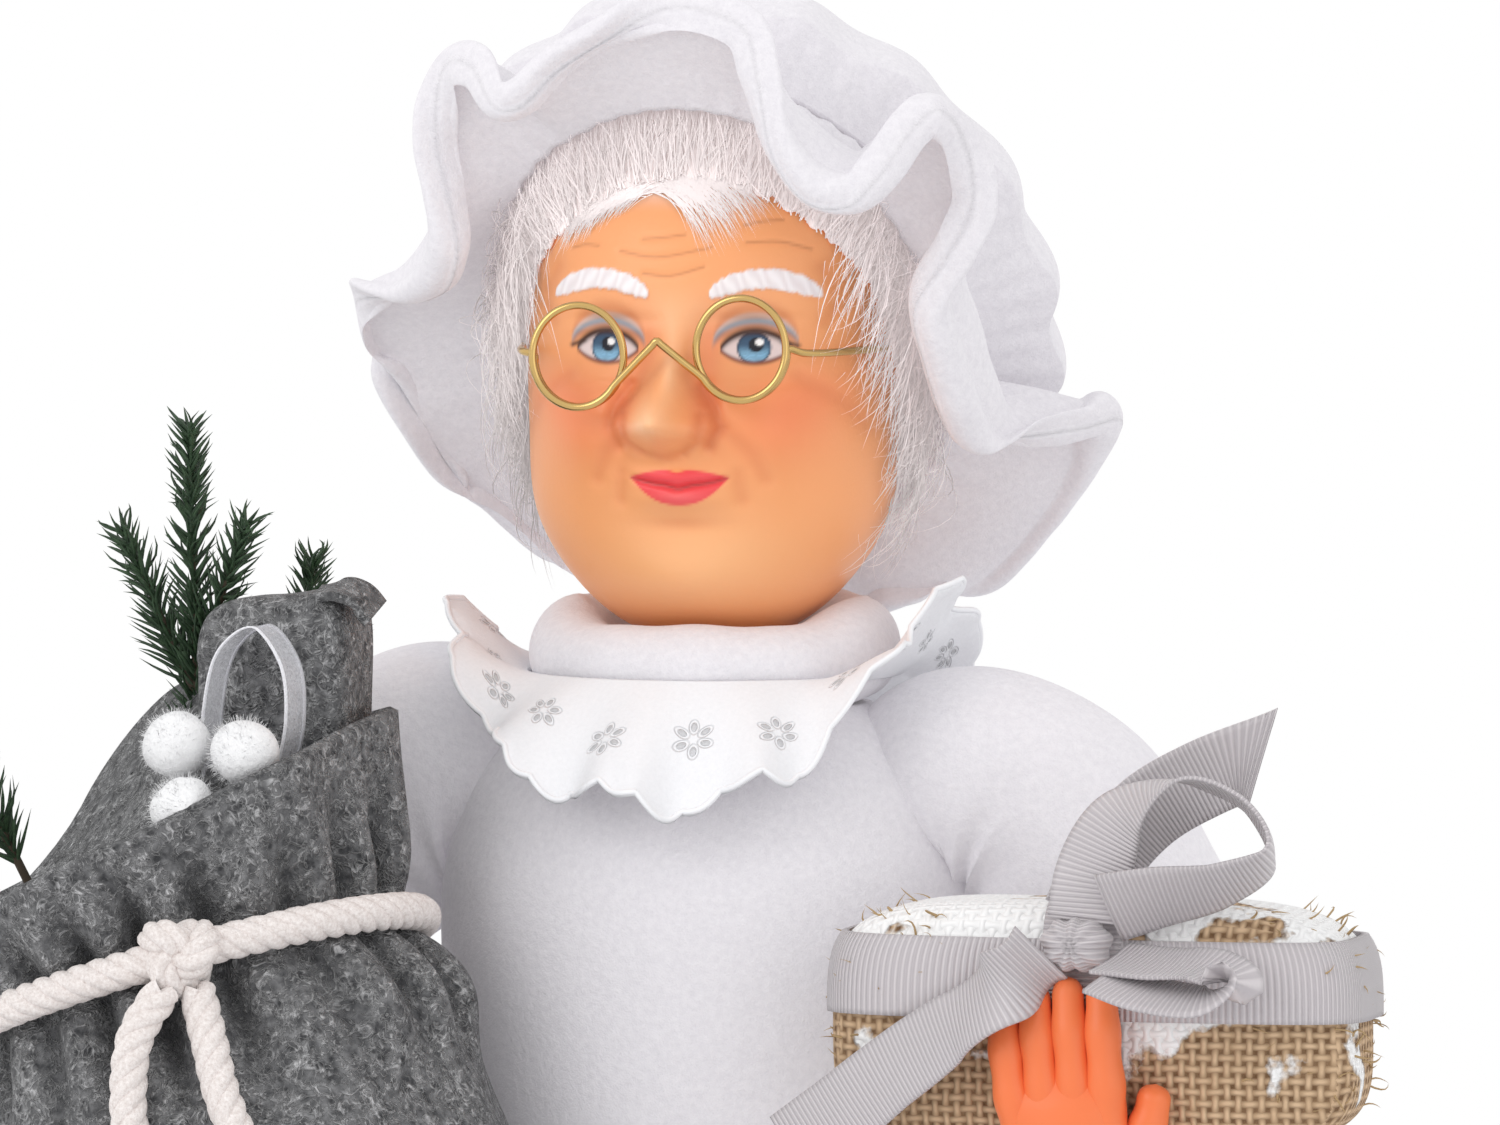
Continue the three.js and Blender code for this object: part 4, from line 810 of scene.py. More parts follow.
class FigureCloth(PropertyGroup):
    """How the fleece and felt fall."""

    hem_roll: FloatProperty(name="Hem roll", description="Thickness of the cap's rolled hem",
                            default=0.0082, unit="LENGTH")
    brim_cloth: FloatProperty(name="Brim cloth", description="Cloth from the cap's band to its hem",
                              default=0.031, unit="LENGTH")
    band_gathers: IntProperty(name="Band gathers", description="Small gathers round the cap's band",
                              default=58)
    sack_gathers: IntProperty(name="Sack gathers", description="Folds round the sack's neck", default=19)
    sack_fold: FloatProperty(name="Sack fold", description="Depth of the sack's folds",
                             default=0.0034, unit="LENGTH")


class FigureFace(PropertyGroup):
    """Set of the head and strength of its paint."""

    turn: FloatProperty(name="Turn", description="Head's turn towards the figure's left",
                        default=math.radians(5), subtype="ANGLE")
    # The blush strength also sets the painted shade beside the nose
    blush: FloatProperty(name="Blush", description="Strength of the red on nose and cheeks",
                         default=0.75, min=0, max=1)
    strands: IntProperty(name="Strands", description="Strands of hair at the hairline", default=2600)


# Sack and cord

def sack_frame():
    """The sack's own side, front and up directions."""
    up = unit(np.array([-0.3, 0.12, 0.95]))
    side = unit(np.array([1.0, 0, 0]) - up * up[0])
    return side, np.cross(side, up), up


def sack_point(angle, reach, radius):
    """A point of the sack: above its neck the mouth rises at the side and sinks at the front."""
    side, front, up = sack_frame()
    rim = SACK_RIM + 7 * np.sin(angle) - 8 * np.cos(angle)
    along = np.where(reach > 0, reach * rim / SACK_RIM, reach)
    parts = along, radius * np.sin(angle), SACK_DEPTH_SHARE * radius * np.cos(angle)
    return SACK_NECK + sum(np.asarray(p)[..., None] * d for p, d in zip(parts, (up, side, front)))


def clear_of_body(points):
    """The points with those inside the bodice or skirt moved straight out to their surface."""
    z = points[..., 2]
    up = np.clip((z - WAIST_Z) / (NECK_Z - WAIST_Z), 0, 1)
    table = np.array(BODICE_SECTIONS, float)
    down = np.clip((WAIST_Z - z) / (WAIST_Z - HEM_LIFT), 0, 1)
    width = np.interp(up, table[:, 0], table[:, 1]) + down * (HEM_RADIUS - WAIST_HALF[0]) + BODY_CLEAR
    depth = np.interp(up, table[:, 0], table[:, 2]) + down * (HEM_RADIUS - WAIST_HALF[1]) + BODY_CLEAR
    inside = np.hypot(points[..., 0] / width, points[..., 1] / depth)
    push = np.where(z < NECK_Z, np.maximum(1 / np.maximum(inside, 1e-6), 1), 1)
    moved = points.copy()
    moved[..., 0] *= push
    moved[..., 1] *= push
    return moved


CORD_RING = SACK_NECK_HALF + CORD_CLEAR + 2 * GAP + CORD_RADIUS / SACK_DEPTH_SHARE
CORD_KNOT = sack_point(np.array(KNOT_ANGLE), np.array(0.0), np.array(CORD_RING))


def twisted(path, radius, lead, across=(0, 0, 1), close=False):
    """Yarns twisted round a line: each is a round tube whose middle winds about the line once in a lead."""
    a, b = frames(path, across)
    run = run_of(path)
    turns = max(round(run[-1] / lead), 1) if close else run[-1] / lead
    grids = []
    for k in range(CORD_YARNS):
        turn = TURN * (turns * run / run[-1] + k / CORD_YARNS)
        middle = path + 0.5 * radius * (np.cos(turn)[:, None] * a + np.sin(turn)[:, None] * b)
        grids.append(tube(middle, 0.5 * radius, 10, across))
    return np.stack(grids)


class FIGURE_OT_cords(Operator):
    """Twisted cotton cord round the sack's neck, its knot and its two free tails"""

    bl_idname = "figure.cords"
    bl_label = "Make cords"

    def execute(self, context):
        for name, route in (("sack_cord_tail_front", TAIL_FRONT), ("sack_cord_tail_side", TAIL_SIDE)):
            path = even(CORD_KNOT + np.array(route), 60)
            tail = surfaces("cotton_" + name, twisted(path, CORD_RADIUS, CORD_LEAD, (1, 0, 0)), cotton())
            settle(tail, "right_arm", "cotton_cord", name)
            tassel = settle(self.tassel("tassel_" + name, path), "right_arm", "cotton_cord")
        turn = KNOT_ANGLE + np.linspace(0.06, TURN - 0.06, 260)
        ring = sack_point(turn, np.zeros(260), np.full(260, CORD_RING))
        cord = surfaces("cotton_sack_cord", twisted(ring, CORD_RADIUS, CORD_LEAD), cotton())
        settle(cord, "right_arm", "cotton_cord", "sack_cord")
        settle(self.knot(), "right_arm", "cotton_cord", "sack_cord_knot")
        return {"FINISHED"}

    def knot(self):
        """An overhand knot: a cord that follows three crossing loops."""
        t = np.linspace(0, TURN, 160)
        across, up = np.sin(t) + 2 * np.sin(2 * t), np.cos(t) - 2 * np.cos(2 * t)
        path = CORD_KNOT + np.stack([1.75 * across, -1.2 - 2.4 * np.sin(3 * t), 1.55 * up], 1)
        return surfaces("cotton_knot", twisted(path, KNOT_CORD_RADIUS, KNOT_CORD_LEAD, close=True), cotton())

    def tassel(self, name, path):
        """Frayed yarns at a tail's end, each bowed a little to its own side."""
        rng = np.random.default_rng(len(name))
        count = 90
        spread = rng.normal(size=(count, 3)) * [1.6, 1.6, 0.3]
        roots = path[-1] + spread * 0.7 + [0, 0, 2.5]
        tips = path[-1] + spread * 1.3 + rng.uniform(-6, -3.2, (count, 1)) * [0, 0, 1]
        yarns = strands(roots, tips, rng.normal(size=(count, 3)) * 0.35, np.full(count, 0.4), 5, 4)
        return surfaces(name, yarns, cotton())


class FIGURE_OT_sack(Operator):
    """Felt sack with folds drawn in at its neck, and the stuffing inside it"""

    bl_idname = "figure.sack"
    bl_label = "Make sack"

    def rings(self, given, grow):
        """Rings from the foot to the mouth, and how deep each point lies in a crease, which sets the shade
        painted there.

        The half width follows the outline and swings in folds beside the neck, broad ones farther off, with a
        bulge towards the body under the cord.
        """
        at = curve(SACK_PROFILE, np.linspace(0, 1, 130))
        reach, radius = at[:, :1], at[:, 1:]
        angle = circle(360)
        sway = 0.8 * np.sin(2 * angle + 0.6) + 0.7 * np.sin(5 * angle) + 0.03 * reach
        wave = np.cos(given.sack_gathers * angle + sway)
        near = np.exp(-((reach - 8) / 10) ** 2) + np.exp(-((reach + 11) / 13) ** 2)
        near = near * (1 - 0.6 * np.exp(-(reach / 4) ** 2)) * (0.75 + 0.25 * np.sin(4 * angle + 1))
        broad = 2.0 * np.cos(7 * angle + 0.9) * smooth(reach, 0, 20)
        broad = broad + 0.9 * np.cos(9 * angle) * smooth(-reach, 10, 40)
        swell = 5 * smooth(np.sin(angle), 0.5, 0.9) * np.exp(-((reach + 14) / 12) ** 2)
        swing = given.sack_fold / MM * near * (2 * ((1 + wave) / 2) ** 0.6 - 1)
        points = sack_point(angle, reach + 0 * angle, radius + swing + broad + swell + grow)
        points = uneven(points, 22, 5, 1.3 * smooth(-reach, -8, 30), unit(points - SACK_NECK))
        return clear_of_body(points), near * ((1 - wave) / 2) ** 2

    def execute(self, context):
        given = context.scene.figure_cloth
        outer, crease = self.rings(given, GAP)
        inner = self.rings(given, GAP - FELT)[0]
        inner[0] += [0, 0, SACK_FOOT]
        edge = lerp(outer[-1:], inner[-1:], 0.5) + sack_frame()[2] * SACK_EDGE
        foot, lining = (lerp(rows[:1], rows[:1].mean(1, keepdims=True), 0.99) for rows in (outer, inner))
        grid = np.concatenate([foot, outer, edge, inner[::-1], lining])
        # Painted shade: the felt is darker the deeper a point lies in a crease
        shade = np.concatenate([crease[:1], crease, crease[-1:], crease[::-1], crease[:1]])
        paint = np.stack([shade] * 4, -1)
        sack = surface("felt_sack", grid, felt(), close_columns=True, size=(270, 150), paint=paint)
        settle(sack, "right_arm", "felt", "sack")
        self.stuffing()
        return {"FINISHED"}

    def stuffing(self):
        """Stuffing that fills the sack to below its rim and ends in a low heap."""
        table = [[reach, radius - FILLING_SINK] for reach, radius in SACK_PROFILE if reach <= FILLING_TOP]
        at = curve(table, np.linspace(0, 1, 40))
        top = table[-1][1]
        at = np.vstack([at, [[FILLING_TOP + 10, 0.75 * top], [FILLING_TOP + 18, 0.4 * top]]])
        angle = circle(64)
        fill = sack_point(angle, at[:, :1] * 0.98 + 0 * angle, at[:, 1:] + 0 * angle)
        heap = surface("stuffing", closed_ends(clear_of_body(fill)), felt(), close_columns=True)
        settle(heap, "right_arm", "felt", "sack_filling")


class FIGURE_OT_contents(Operator):
    """Felt parcel, organza loop, pompoms and pine sprigs that stand in the sack"""

    bl_idname = "figure.contents"
    bl_label = "Make contents"

    def execute(self, context):
        self.parcel()
        path = even(SACK_NECK + np.array(ORGANZA_LOOP), 120)
        size = (1.0, length_of(path))
        loop = ribbon("organza_loop", path, [0.25, 1, 0], ORGANZA_WIDTH, ORGANZA_THICK, organza(), size)
        settle(loop, "right_arm", "organza", "organza_ribbon")
        for i, place in enumerate(POMPOMS):
            self.pompom(i + 1, SACK_NECK + np.array(place))
        for i, (at, lean, length) in enumerate(SPRIGS):
            self.sprig(i + 1, SACK_NECK + np.array(at), unit(np.array(lean, float)), length)
        return {"FINISHED"}

    def parcel(self):
        """A folded block of felt: a squared ball, pinched along one edge where its flap tucks in."""
        points = squared_ball(PARCEL_HALF, 6.0, 120, 90)
        across, up = points[..., 0] / PARCEL_HALF[0], points[..., 2] / PARCEL_HALF[2]
        points[..., 2] += 1.6 * across * smooth(up, 0.2, 1)
        points[..., 1] -= 1.1 * smooth(up, 0.52, 0.6) * (points[..., 1] < 0)
        points = uneven(points, 14, 3, 0.7, unit(points))
        middle = SACK_NECK + np.array(PARCEL_AT)
        made = surface("felt_bundle", points + middle, felt(), close_columns=True)
        path = even(middle + np.array(PARCEL_FLAP), 30)
        flap = ribbon("felt_flap", path, [0.2, 1, 0.2], FLAP_WIDTH, FLAP_THICK, felt(), (FLAP_WIDTH, 10))
        settle(made, "right_arm", "felt", "felt_parcel")
        settle(flap, "right_arm", "felt")

    def pompom(self, number, middle):
        """A soft ball with short fibres standing out of it in all directions."""
        ball = squared_ball(np.full(3, POMPOM_RADIUS), 2.0, 48, 32)
        ball = uneven(ball, 4, number, 0.4, unit(ball))
        soft = cloth("Pompom", (0.84, 0.84, 0.85), (0.93, 0.93, 0.94), 0.8, 0.4)
        made = surface(f"pompom_ball_{number}", ball + middle, soft, close_columns=True)
        settle(made, "right_arm", "pompom", f"pompom_{number}")
        rng = np.random.default_rng(40 + number)
        count = 900
        out = unit(rng.normal(size=(count, 3)))
        tips = middle + out * (POMPOM_RADIUS + rng.uniform(0.3, 1.4, (count, 1)))
        bend = rng.normal(size=(count, 3)) * 0.35
        fuzz = strands(middle + out * (POMPOM_RADIUS - 0.3), tips, bend, np.full(count, 0.055), 3, 3)
        settle(surfaces(f"pompom_fuzz_{number}", fuzz, soft), "right_arm", "pompom")

    def sprig(self, number, root, axis, length):
        """A stem with needles set round it in a spiral, shorter towards the tip, and two side shoots."""
        rng = np.random.default_rng(60 + number)
        green = cloth("Pine needles", (0.012, 0.03, 0.014), (0.05, 0.10, 0.045), 2.0, 0.1, 0.6)
        side = unit(np.cross(axis, [0.3, 1, 0.1]))
        shoots = [
            (root, axis, length, 0.2),
            (root + axis * length * 0.4, unit(axis + 0.5 * side), length * 0.42, 0.1),
            (root + axis * length * 0.46, unit(axis - 0.45 * side), length * 0.36, 0.1),
        ]
        parts = []
        for start, aim, reach, bare in shoots:
            count = int(reach * 3.4)
            share = np.linspace(bare, 1, count)[:, None]
            turn = np.arange(count)[:, None] * 2.4 + rng.uniform(-0.4, 0.4, (count, 1))
            a = unit(np.cross(aim, [0, 1, 0.2]))
            out = unit(np.cos(turn) * a + np.sin(turn) * np.cross(aim, a) + 1.15 * aim)
            foot = start + aim * reach * share
            tips = foot + out * (10.5 - 4.5 * share) * rng.uniform(0.8, 1.1, (count, 1))
            parts.append(strands(foot, tips, rng.normal(size=(count, 3)) * 0.5, np.full(count, 0.42), 5, 4))
        made = surfaces(f"pine_needles_{number}", np.concatenate(parts), green)
        settle(made, "right_arm", "pine", f"pine_sprig_{number}")
        stems = [strands(s[None], (s + a * r)[None], np.zeros((1, 3)), [0.8], 8, 6) for s, a, r, _ in shoots]
        bark = material("Sprig stem", (0.05, 0.035, 0.02), 0.8)
        settle(surfaces(f"pine_stem_{number}", np.concatenate(stems), bark), "right_arm", "pine")


# Head

# Half sizes, the chin's drop, the neck, and an eye's place across and up
HEAD_HALF = np.array([33.0, 37.0, 47.0])
CHIN_DROP = 3.2
NECK_RADIUS = 15.0
NECK_FOOT_Z = 486.3
NECK_TOP_Z = 521.5
EYE = (13.3, 3.6)

# Wig: angle from its crown to its edge, front to nape, in degrees, and its lean back
HAIRLINE = [78, 84, 93, 108, 78]
HAIR_TILT = 0.67

# Fringe, across and up: roots and tips of the right and the left sheaf, from the first strand to the last
FRINGE_ROOTS = [[[-5.0, 32.2], [-17.0, 29.2]], [[-6.5, 32.0], [3.0, 35.2]]]
FRINGE_TIPS = [[[-13.0, 26.6], [-25.0, 19.6]], [[7.0, 19.2], [17.0, 27.6]]]

# Fine relief of lids, lips and chin, the same on both sides, in the order of the face's relief
FINE_RELIEF = [
    [EYE[0], EYE[1] + 0.3, 6.2, 3.6, 1.5], [13, 8.8, 7, 1.2, -0.9], [13.5, 7.0, 6.5, 1.2, 0.5],
    [13, -2.6, 6, 1.0, -0.5], [0, -18.9, 7.5, 1.5, 1.0], [0, -23.0, 6.2, 1.9, 1.3],
    [0, -27.6, 8, 1.6, -0.6], [0, -16.0, 1.4, 1.8, -0.5],
]

# Creases beside and under the nose, across and up
NOSE_CREASE = [(6.4, -3.0), (8.8, -6.5), (9.6, -10.0), (8.0, -13.2)]
NOSE_TIP = [(0, -15.3), (3.3, -14.6), (5.9, -12.8), (7.0, -10.2), (6.8, -7.8)]

# Paint, with painted highlights on the chin and nose and painted shadow in creases
SKIN = (0.91, 0.385, 0.160)
HAND_TONE = (0.88, 0.205, 0.068)
# Painted highlight on the chin
CHIN_HIGHLIGHT = (0.93, 0.50, 0.24)
BLUSH = (0.88, 0.23, 0.095)
SHADOW = (0.62, 0.15, 0.055)
SHINE = (0.97, 0.60, 0.35)
LIP = (0.87, 0.068, 0.085)
LASH = (0.06, 0.025, 0.018)


def near_line(x, z, points):
    """Distance of each place from a line of points."""
    best = np.full(x.shape, 1e9)
    for (ax, az), (bx, bz) in zip(points[:-1], points[1:]):
        dx, dz = bx - ax, bz - az
        t = np.clip(((x - ax) * dx + (z - az) * dz) / (dx * dx + dz * dz), 0, 1)
        best = np.minimum(best, np.hypot(x - ax - t * dx, z - az - t * dz))
    return best


def groove(x, z, points, width):
    """A soft line: 1 on it and fading over its width."""
    return np.exp(-(near_line(x, z, points) / width) ** 2)


def wrinkles():
    """Soft folds on both sides of the face: smile, cheek, mouth corner, eye corner and brow end."""
    half = [
        [(8.5, -10.5), (13, -15.2), (15, -19.3)], [(20.6, -1.3), (27, -5.5), (31, -11)],
        [(10.3, -18.6), (10.9, -23)], [(24.5, 8.5), (26, 11)], [(23.6, 18), (25.8, 14.2)],
    ]
    return [[(a * s, z) for a, z in line] for line in half for s in (1, -1)]


# Fine lines of the forehead
BROW_LINES = [curve(line, np.linspace(0, 1, 9)) for line in (
    [(-11, 20.9), (-4.3, 19.9), (5.6, 21.6)], [(-6.8, 23.1), (-2.8, 23.4), (0.9, 23.9)],
    [(-6.5, 17.0), (-1.6, 16.6), (4.4, 18.2)], [(-20.8, 21.3), (-18.2, 21.9), (-15.4, 21.8)],
    [(11.6, 22.5), (17, 22.6), (22, 21.2)], [(11, 25.5), (14, 26.2), (17.2, 26.4)],
)]


def mouth_line(x):
    """Height of the line between the lips, which rises to the corners."""
    return -20.5 + 0.018 * x ** 2 - 0.5 * np.exp(-(x / 1.6) ** 2)


def swells(x, z, table):
    """The sum of a table's bells."""
    return sum(swell * bump(x, z, *bell) for *bell, swell in table)


def relief(x, z, fine):
    """Forward swell of the face: a sum of bells, and in fine work lids, lips, nostrils and folds too."""
    if not fine:
        return swells(x, z, NOSE_RELIEF + FACE_RELIEF)
    lean = nose_lean(z)
    side, nose = np.abs(x), np.abs(x + lean)
    total = swells(x + lean, z, NOSE_RELIEF) + swells(x, z, FACE_RELIEF) + swells(side, z, FINE_RELIEF)
    total = total - 1.3 * groove(nose, z, NOSE_CREASE, 1.4) - 0.9 * groove(nose, z, NOSE_TIP[1:], 0.9)
    total = total + 1.9 * bump(nose, z, 0, -9.5, 4.7, 4.0) + 0.5 * brow_mask(side, z)
    total = total - 1.2 * np.exp(-((z - mouth_line(x)) / 0.7) ** 2) * smooth(9.6 - side, 0, 2.5)
    for line in wrinkles():
        total = total - 0.6 * groove(x, z, line, 1.7)
    for line in BROW_LINES:
        total = total - 0.22 * groove(x, z, line, 0.7)
    return total


def head_point(ways, grow=0.0, fine=False):
    """A point of the head in each direction: a squared ball with a narrower jaw and the face's relief."""
    power = 2.25 + 0.15 * smooth(-ways[..., 2], 0.2, 0.7)
    half = HEAD_HALF + np.array([0, 0, CHIN_DROP]) * (ways[..., 2:] < 0)
    reach = (np.abs(ways / half) ** power[..., None]).sum(-1) ** (-1 / power) + grow
    points = ways * reach[..., None]
    points[..., 0] *= 1 - 0.02 * smooth(-ways[..., 2], 0.1, 1)
    if fine:
        points[..., 0] *= 1 + 0.065 * np.exp(-((points[..., 2] + 28) / 13) ** 2)
    points[..., 1] -= relief(points[..., 0], points[..., 2], fine) * smooth(-ways[..., 1], 0.1, 0.6)
    return points


def nose_lean(z):
    """How far the nose stands towards the figure's right at a height."""
    return 2.3 * smooth(-z, -4, 5) * smooth(z, -19, -14)


def brow_mask(side, z):
    """Where the white brows lie: a thick flat arch with blunt ends."""
    reach = (side - 14.8) / 9.4
    half = 1.8 * np.sqrt(np.maximum(1 - reach ** 6, 0))
    ragged = 0.14 * np.sin(2.3 * side + 1.7 * np.sin(0.9 * side) + 2.1 * z)
    ragged = ragged + 0.08 * np.sin(7.1 * side - 3.3 * z + 1)
    return smooth(half + ragged - np.abs(z - 16.1 + 2.7 * reach ** 2), -0.25, 0.3) * (half > 0)


def lay(base, color, mask):
    """A colour laid over another where the mask says."""
    return base + (np.asarray(color) - base) * np.clip(mask, 0, 1)[..., None]


def eye_paint(color, x, z):
    """Both painted eyes: shadow on the lids, white, iris, pupil, highlight and lashes."""
    dx, dz, across = np.abs(x) - EYE[0], z - EYE[1], x - np.sign(x) * EYE[0]
    curve_up = np.maximum(1 - (dx / 5.9) ** 2, 0)
    top, low = 3.2 * curve_up ** 0.75, -2.4 * curve_up ** 0.8
    inside = smooth(top - dz, -0.12, 0.18) * smooth(dz - low, -0.12, 0.18) * (np.abs(dx) < 5.9)
    lid = np.sqrt(np.maximum(1 - (dx / 7.4) ** 2, 0))
    shade = smooth(lid, 0.1, 0.5)
    color = lay(color, (0.62, 0.20, 0.08), 0.5 * np.exp(-((dz - 7.4 * lid) / 1.5) ** 2) * shade)
    color = lay(color, (0.19, 0.33, 0.43), 0.85 * np.exp(-((dz - 5.0 * lid) / 0.85) ** 2) * shade)
    color = lay(color, (0.62, 0.60, 0.60), 0.4 * np.exp(-((dz - 6.2 * lid) / 0.5) ** 2) * shade)
    color = lay(color, (0.50, 0.17, 0.07), 0.45 * np.exp(-((dz - 3.9 * lid) / 0.7) ** 2) * shade)
    color = lay(color, (0.80, 0.66, 0.64), inside)
    gaze = np.hypot(across + 0.2, dz - 0.3)
    rays = 0.5 + 0.5 * np.sin(26 * np.arctan2(dz, dx) + 3 * gaze)
    blue = lay(np.broadcast_to((0.045, 0.10, 0.18), color.shape), (0.27, 0.54, 0.76),
               (0.75 + 0.25 * rays) * smooth(-dz, -1.1, 1.3))
    blue = lay(blue, (0.02, 0.05, 0.10), smooth(gaze, 2.3, 2.85))
    color = lay(color, blue, smooth(2.95 - gaze, -0.1, 0.2) * inside)
    pupil = smooth(1.35 - np.hypot(across - 0.1, dz - 0.8), -0.1, 0.25)
    color = lay(color, (0.008, 0.01, 0.02), pupil * inside)
    highlight = smooth(0.72 - np.hypot(across - 0.7, dz - 1.3), -0.1, 0.2)
    color = lay(color, (1.0, 1.0, 1.0), highlight * inside)
    color = lay(color, LASH, np.exp(-((dz - top - 0.1) / 0.78) ** 2) * (curve_up > 0.01))
    outer = [(EYE[0] + 4.6, EYE[1] + 1.4), (EYE[0] + 7.0, EYE[1] + 0.6)]
    color = lay(color, LASH, 0.85 * groove(np.abs(x), z, outer, 0.45))
    return lay(color, (0.20, 0.055, 0.035), 0.85 * np.exp(-((dz - low) / 0.45) ** 2) * (curve_up > 0.03))


def face_paint(points, blush):
    """Colour of each point of the head: skin, blush, painted highlights, painted shadows beside the nose and
    in the folds, lips, lines, eyes and brows.
    """
    x, z = points[..., 0], points[..., 2]
    side, nose = np.abs(x), np.abs(x + nose_lean(z))
    front = smooth(-points[..., 1], 8, 20)
    color = np.broadcast_to(SKIN, points.shape).copy()
    # Painted highlight on the chin
    color = lay(color, CHIN_HIGHLIGHT, 0.7 * bump(x, z, 2, -33, 17, 8) * front)
    # Blush on the cheeks and nose wings, with painted shade beside the bridge and down the sides of the nose
    blush_and_shade = 0.85 * bump(side, z, 17.5, -9.5, 9, 7.5) + 0.5 * bump(side, z, 23, -4, 7, 5)
    blush_and_shade = blush_and_shade + 0.5 * bump(nose, z, 7.5, -9, 3, 4) + 0.4 * bump(side, z, 7, 9, 4, 4)
    blush_and_shade = blush_and_shade + 0.6 * groove(nose, z, [(5.2, 6), (5.8, 0), (7.5, -5)], 2.4)
    color = lay(color, BLUSH, blush * blush_and_shade * front)
    crease = groove(nose, z, NOSE_CREASE, 1.2) * lerp(0.3, 0.6, smooth(x, -3, 3))
    for mask in (crease, 0.36 * groove(nose, z, NOSE_TIP, 0.9), 0.3 * bump(x, z, 0, -27.4, 6, 1.2)):
        color = lay(color, SHADOW, mask * front)
    # Painted highlights on the nose's tip and bridge and across the brow's middle
    shine = 0.7 * bump(x, z, -4.0, -8.5, 3.0, 3.4) + 0.5 * bump(x, z, -0.6, 0, 1.4, 6)
    color = lay(color, SHINE, (shine + 0.35 * bump(x, z, 0, 10, 14, 5)) * front)
    # Painted shade along each fold
    for line in wrinkles():
        color = lay(color, (0.66, 0.18, 0.065), 0.24 * groove(x, z, line, 1.3) * front)
    for line in BROW_LINES:
        color = lay(color, (0.45, 0.16, 0.06), 0.5 * groove(x, z, line, 0.26) * front)
    share = np.minimum(side / 8.8, 1.2)
    top = -17.5 - 1.5 * share ** 2 - 0.6 * np.exp(-(x / 1.3) ** 2)
    low = -24.0 + 4.9 * share ** 2.3
    lips = smooth(top - z, -0.25, 0.25) * smooth(z - low, -0.25, 0.25) * front
    color = lay(color, LIP, 0.97 * lips)
    # Painted highlight on the lower lip
    color = lay(color, (0.95, 0.22, 0.21), 0.45 * lips * bump(x, z, 0, -22.4, 4, 1.0))
    seam = np.exp(-((z - mouth_line(x)) / 0.32) ** 2) * smooth(9.4 - side, 0, 1.2)
    color = lay(color, (0.45, 0.05, 0.045), 0.8 * seam * front)
    color = lay(color, eye_paint(color, x, z), front)
    strokes = 0.5 + 0.5 * np.sin(3.1 * side + 1.2 * np.sin(1.7 * side) + 1.6 * (z - 16))
    white = lerp(np.array((0.82, 0.75, 0.76)), np.array((0.93, 0.88, 0.89)), strokes[..., None])
    color = lay(color, white, brow_mask(side, z) * front)
    haze = smooth(z + 0.012 * (x + 5) ** 2, 27.5, 34) * smooth(x, -26, -20) * smooth(-x, -15, -8)
    color = lay(color, (0.90, 0.80, 0.77), 0.6 * haze * front)
    return np.concatenate([color, np.ones(color.shape[:-1] + (1,))], -1)


def set_head(points, given):
    """Points about the head's own centre moved to its place and turn."""
    return rotate_z(points, given.turn) + [0, 0, HEAD_Z]


class FIGURE_OT_head(Operator):
    """Vinyl head with its moulded and painted face, and the neck"""

    bl_idname = "figure.head"
    bl_label = "Make head"

    def execute(self, context):
        given = context.scene.figure_face
        even_turn = circle(350)
        angle = even_turn - 0.62 * np.sin(even_turn)
        rise = np.linspace(-1, 1, 272)[:, None]
        up = (rise * 0.62 + 0.38 * rise ** 3) * math.radians(89.5)
        points = head_point(directions(angle, up), 0.0, True)
        paint = face_paint(points, given.blush)
        head = surface("painted_head", set_head(points, given), vinyl(), close_columns=True, paint=paint)
        settle(head, "head", "vinyl", "head_shell")
        neck = around(circle(64), NECK_RADIUS, NECK_RADIUS, np.linspace(NECK_FOOT_Z, NECK_TOP_Z, 24)[:, None])
        shade = np.broadcast_to((*SKIN, 1.0), neck.shape[:2] + (4,))
        settle(surface("neck_stub", neck, vinyl(), close_columns=True, paint=shade), "head", "vinyl")
        return {"FINISHED"}


def hairline(turn):
    """Angle from the crown of the wig to its edge, eased from front to nape."""
    place = np.abs(turn) / math.pi * (len(HAIRLINE) - 1)
    key = np.minimum(place.astype(int), len(HAIRLINE) - 2)
    table = np.array(HAIRLINE, float)
    return np.radians(lerp(table[key], table[key + 1], smooth(place - key, 0, 1)))


def scalp(turn, spread, grow):
    """A point over the head at an angle from the wig's crown, turned from the front."""
    crown = np.array([0, math.sin(HAIR_TILT), math.cos(HAIR_TILT)])
    front = np.array([0, -math.cos(HAIR_TILT), math.sin(HAIR_TILT)])
    ways = (np.cos(spread)[..., None] * crown + (np.sin(spread) * np.cos(turn))[..., None] * front
            + (np.sin(spread) * np.sin(turn))[..., None] * np.array([1.0, 0, 0]))
    return head_point(ways) + unit(ways) * np.asarray(grow)[..., None]


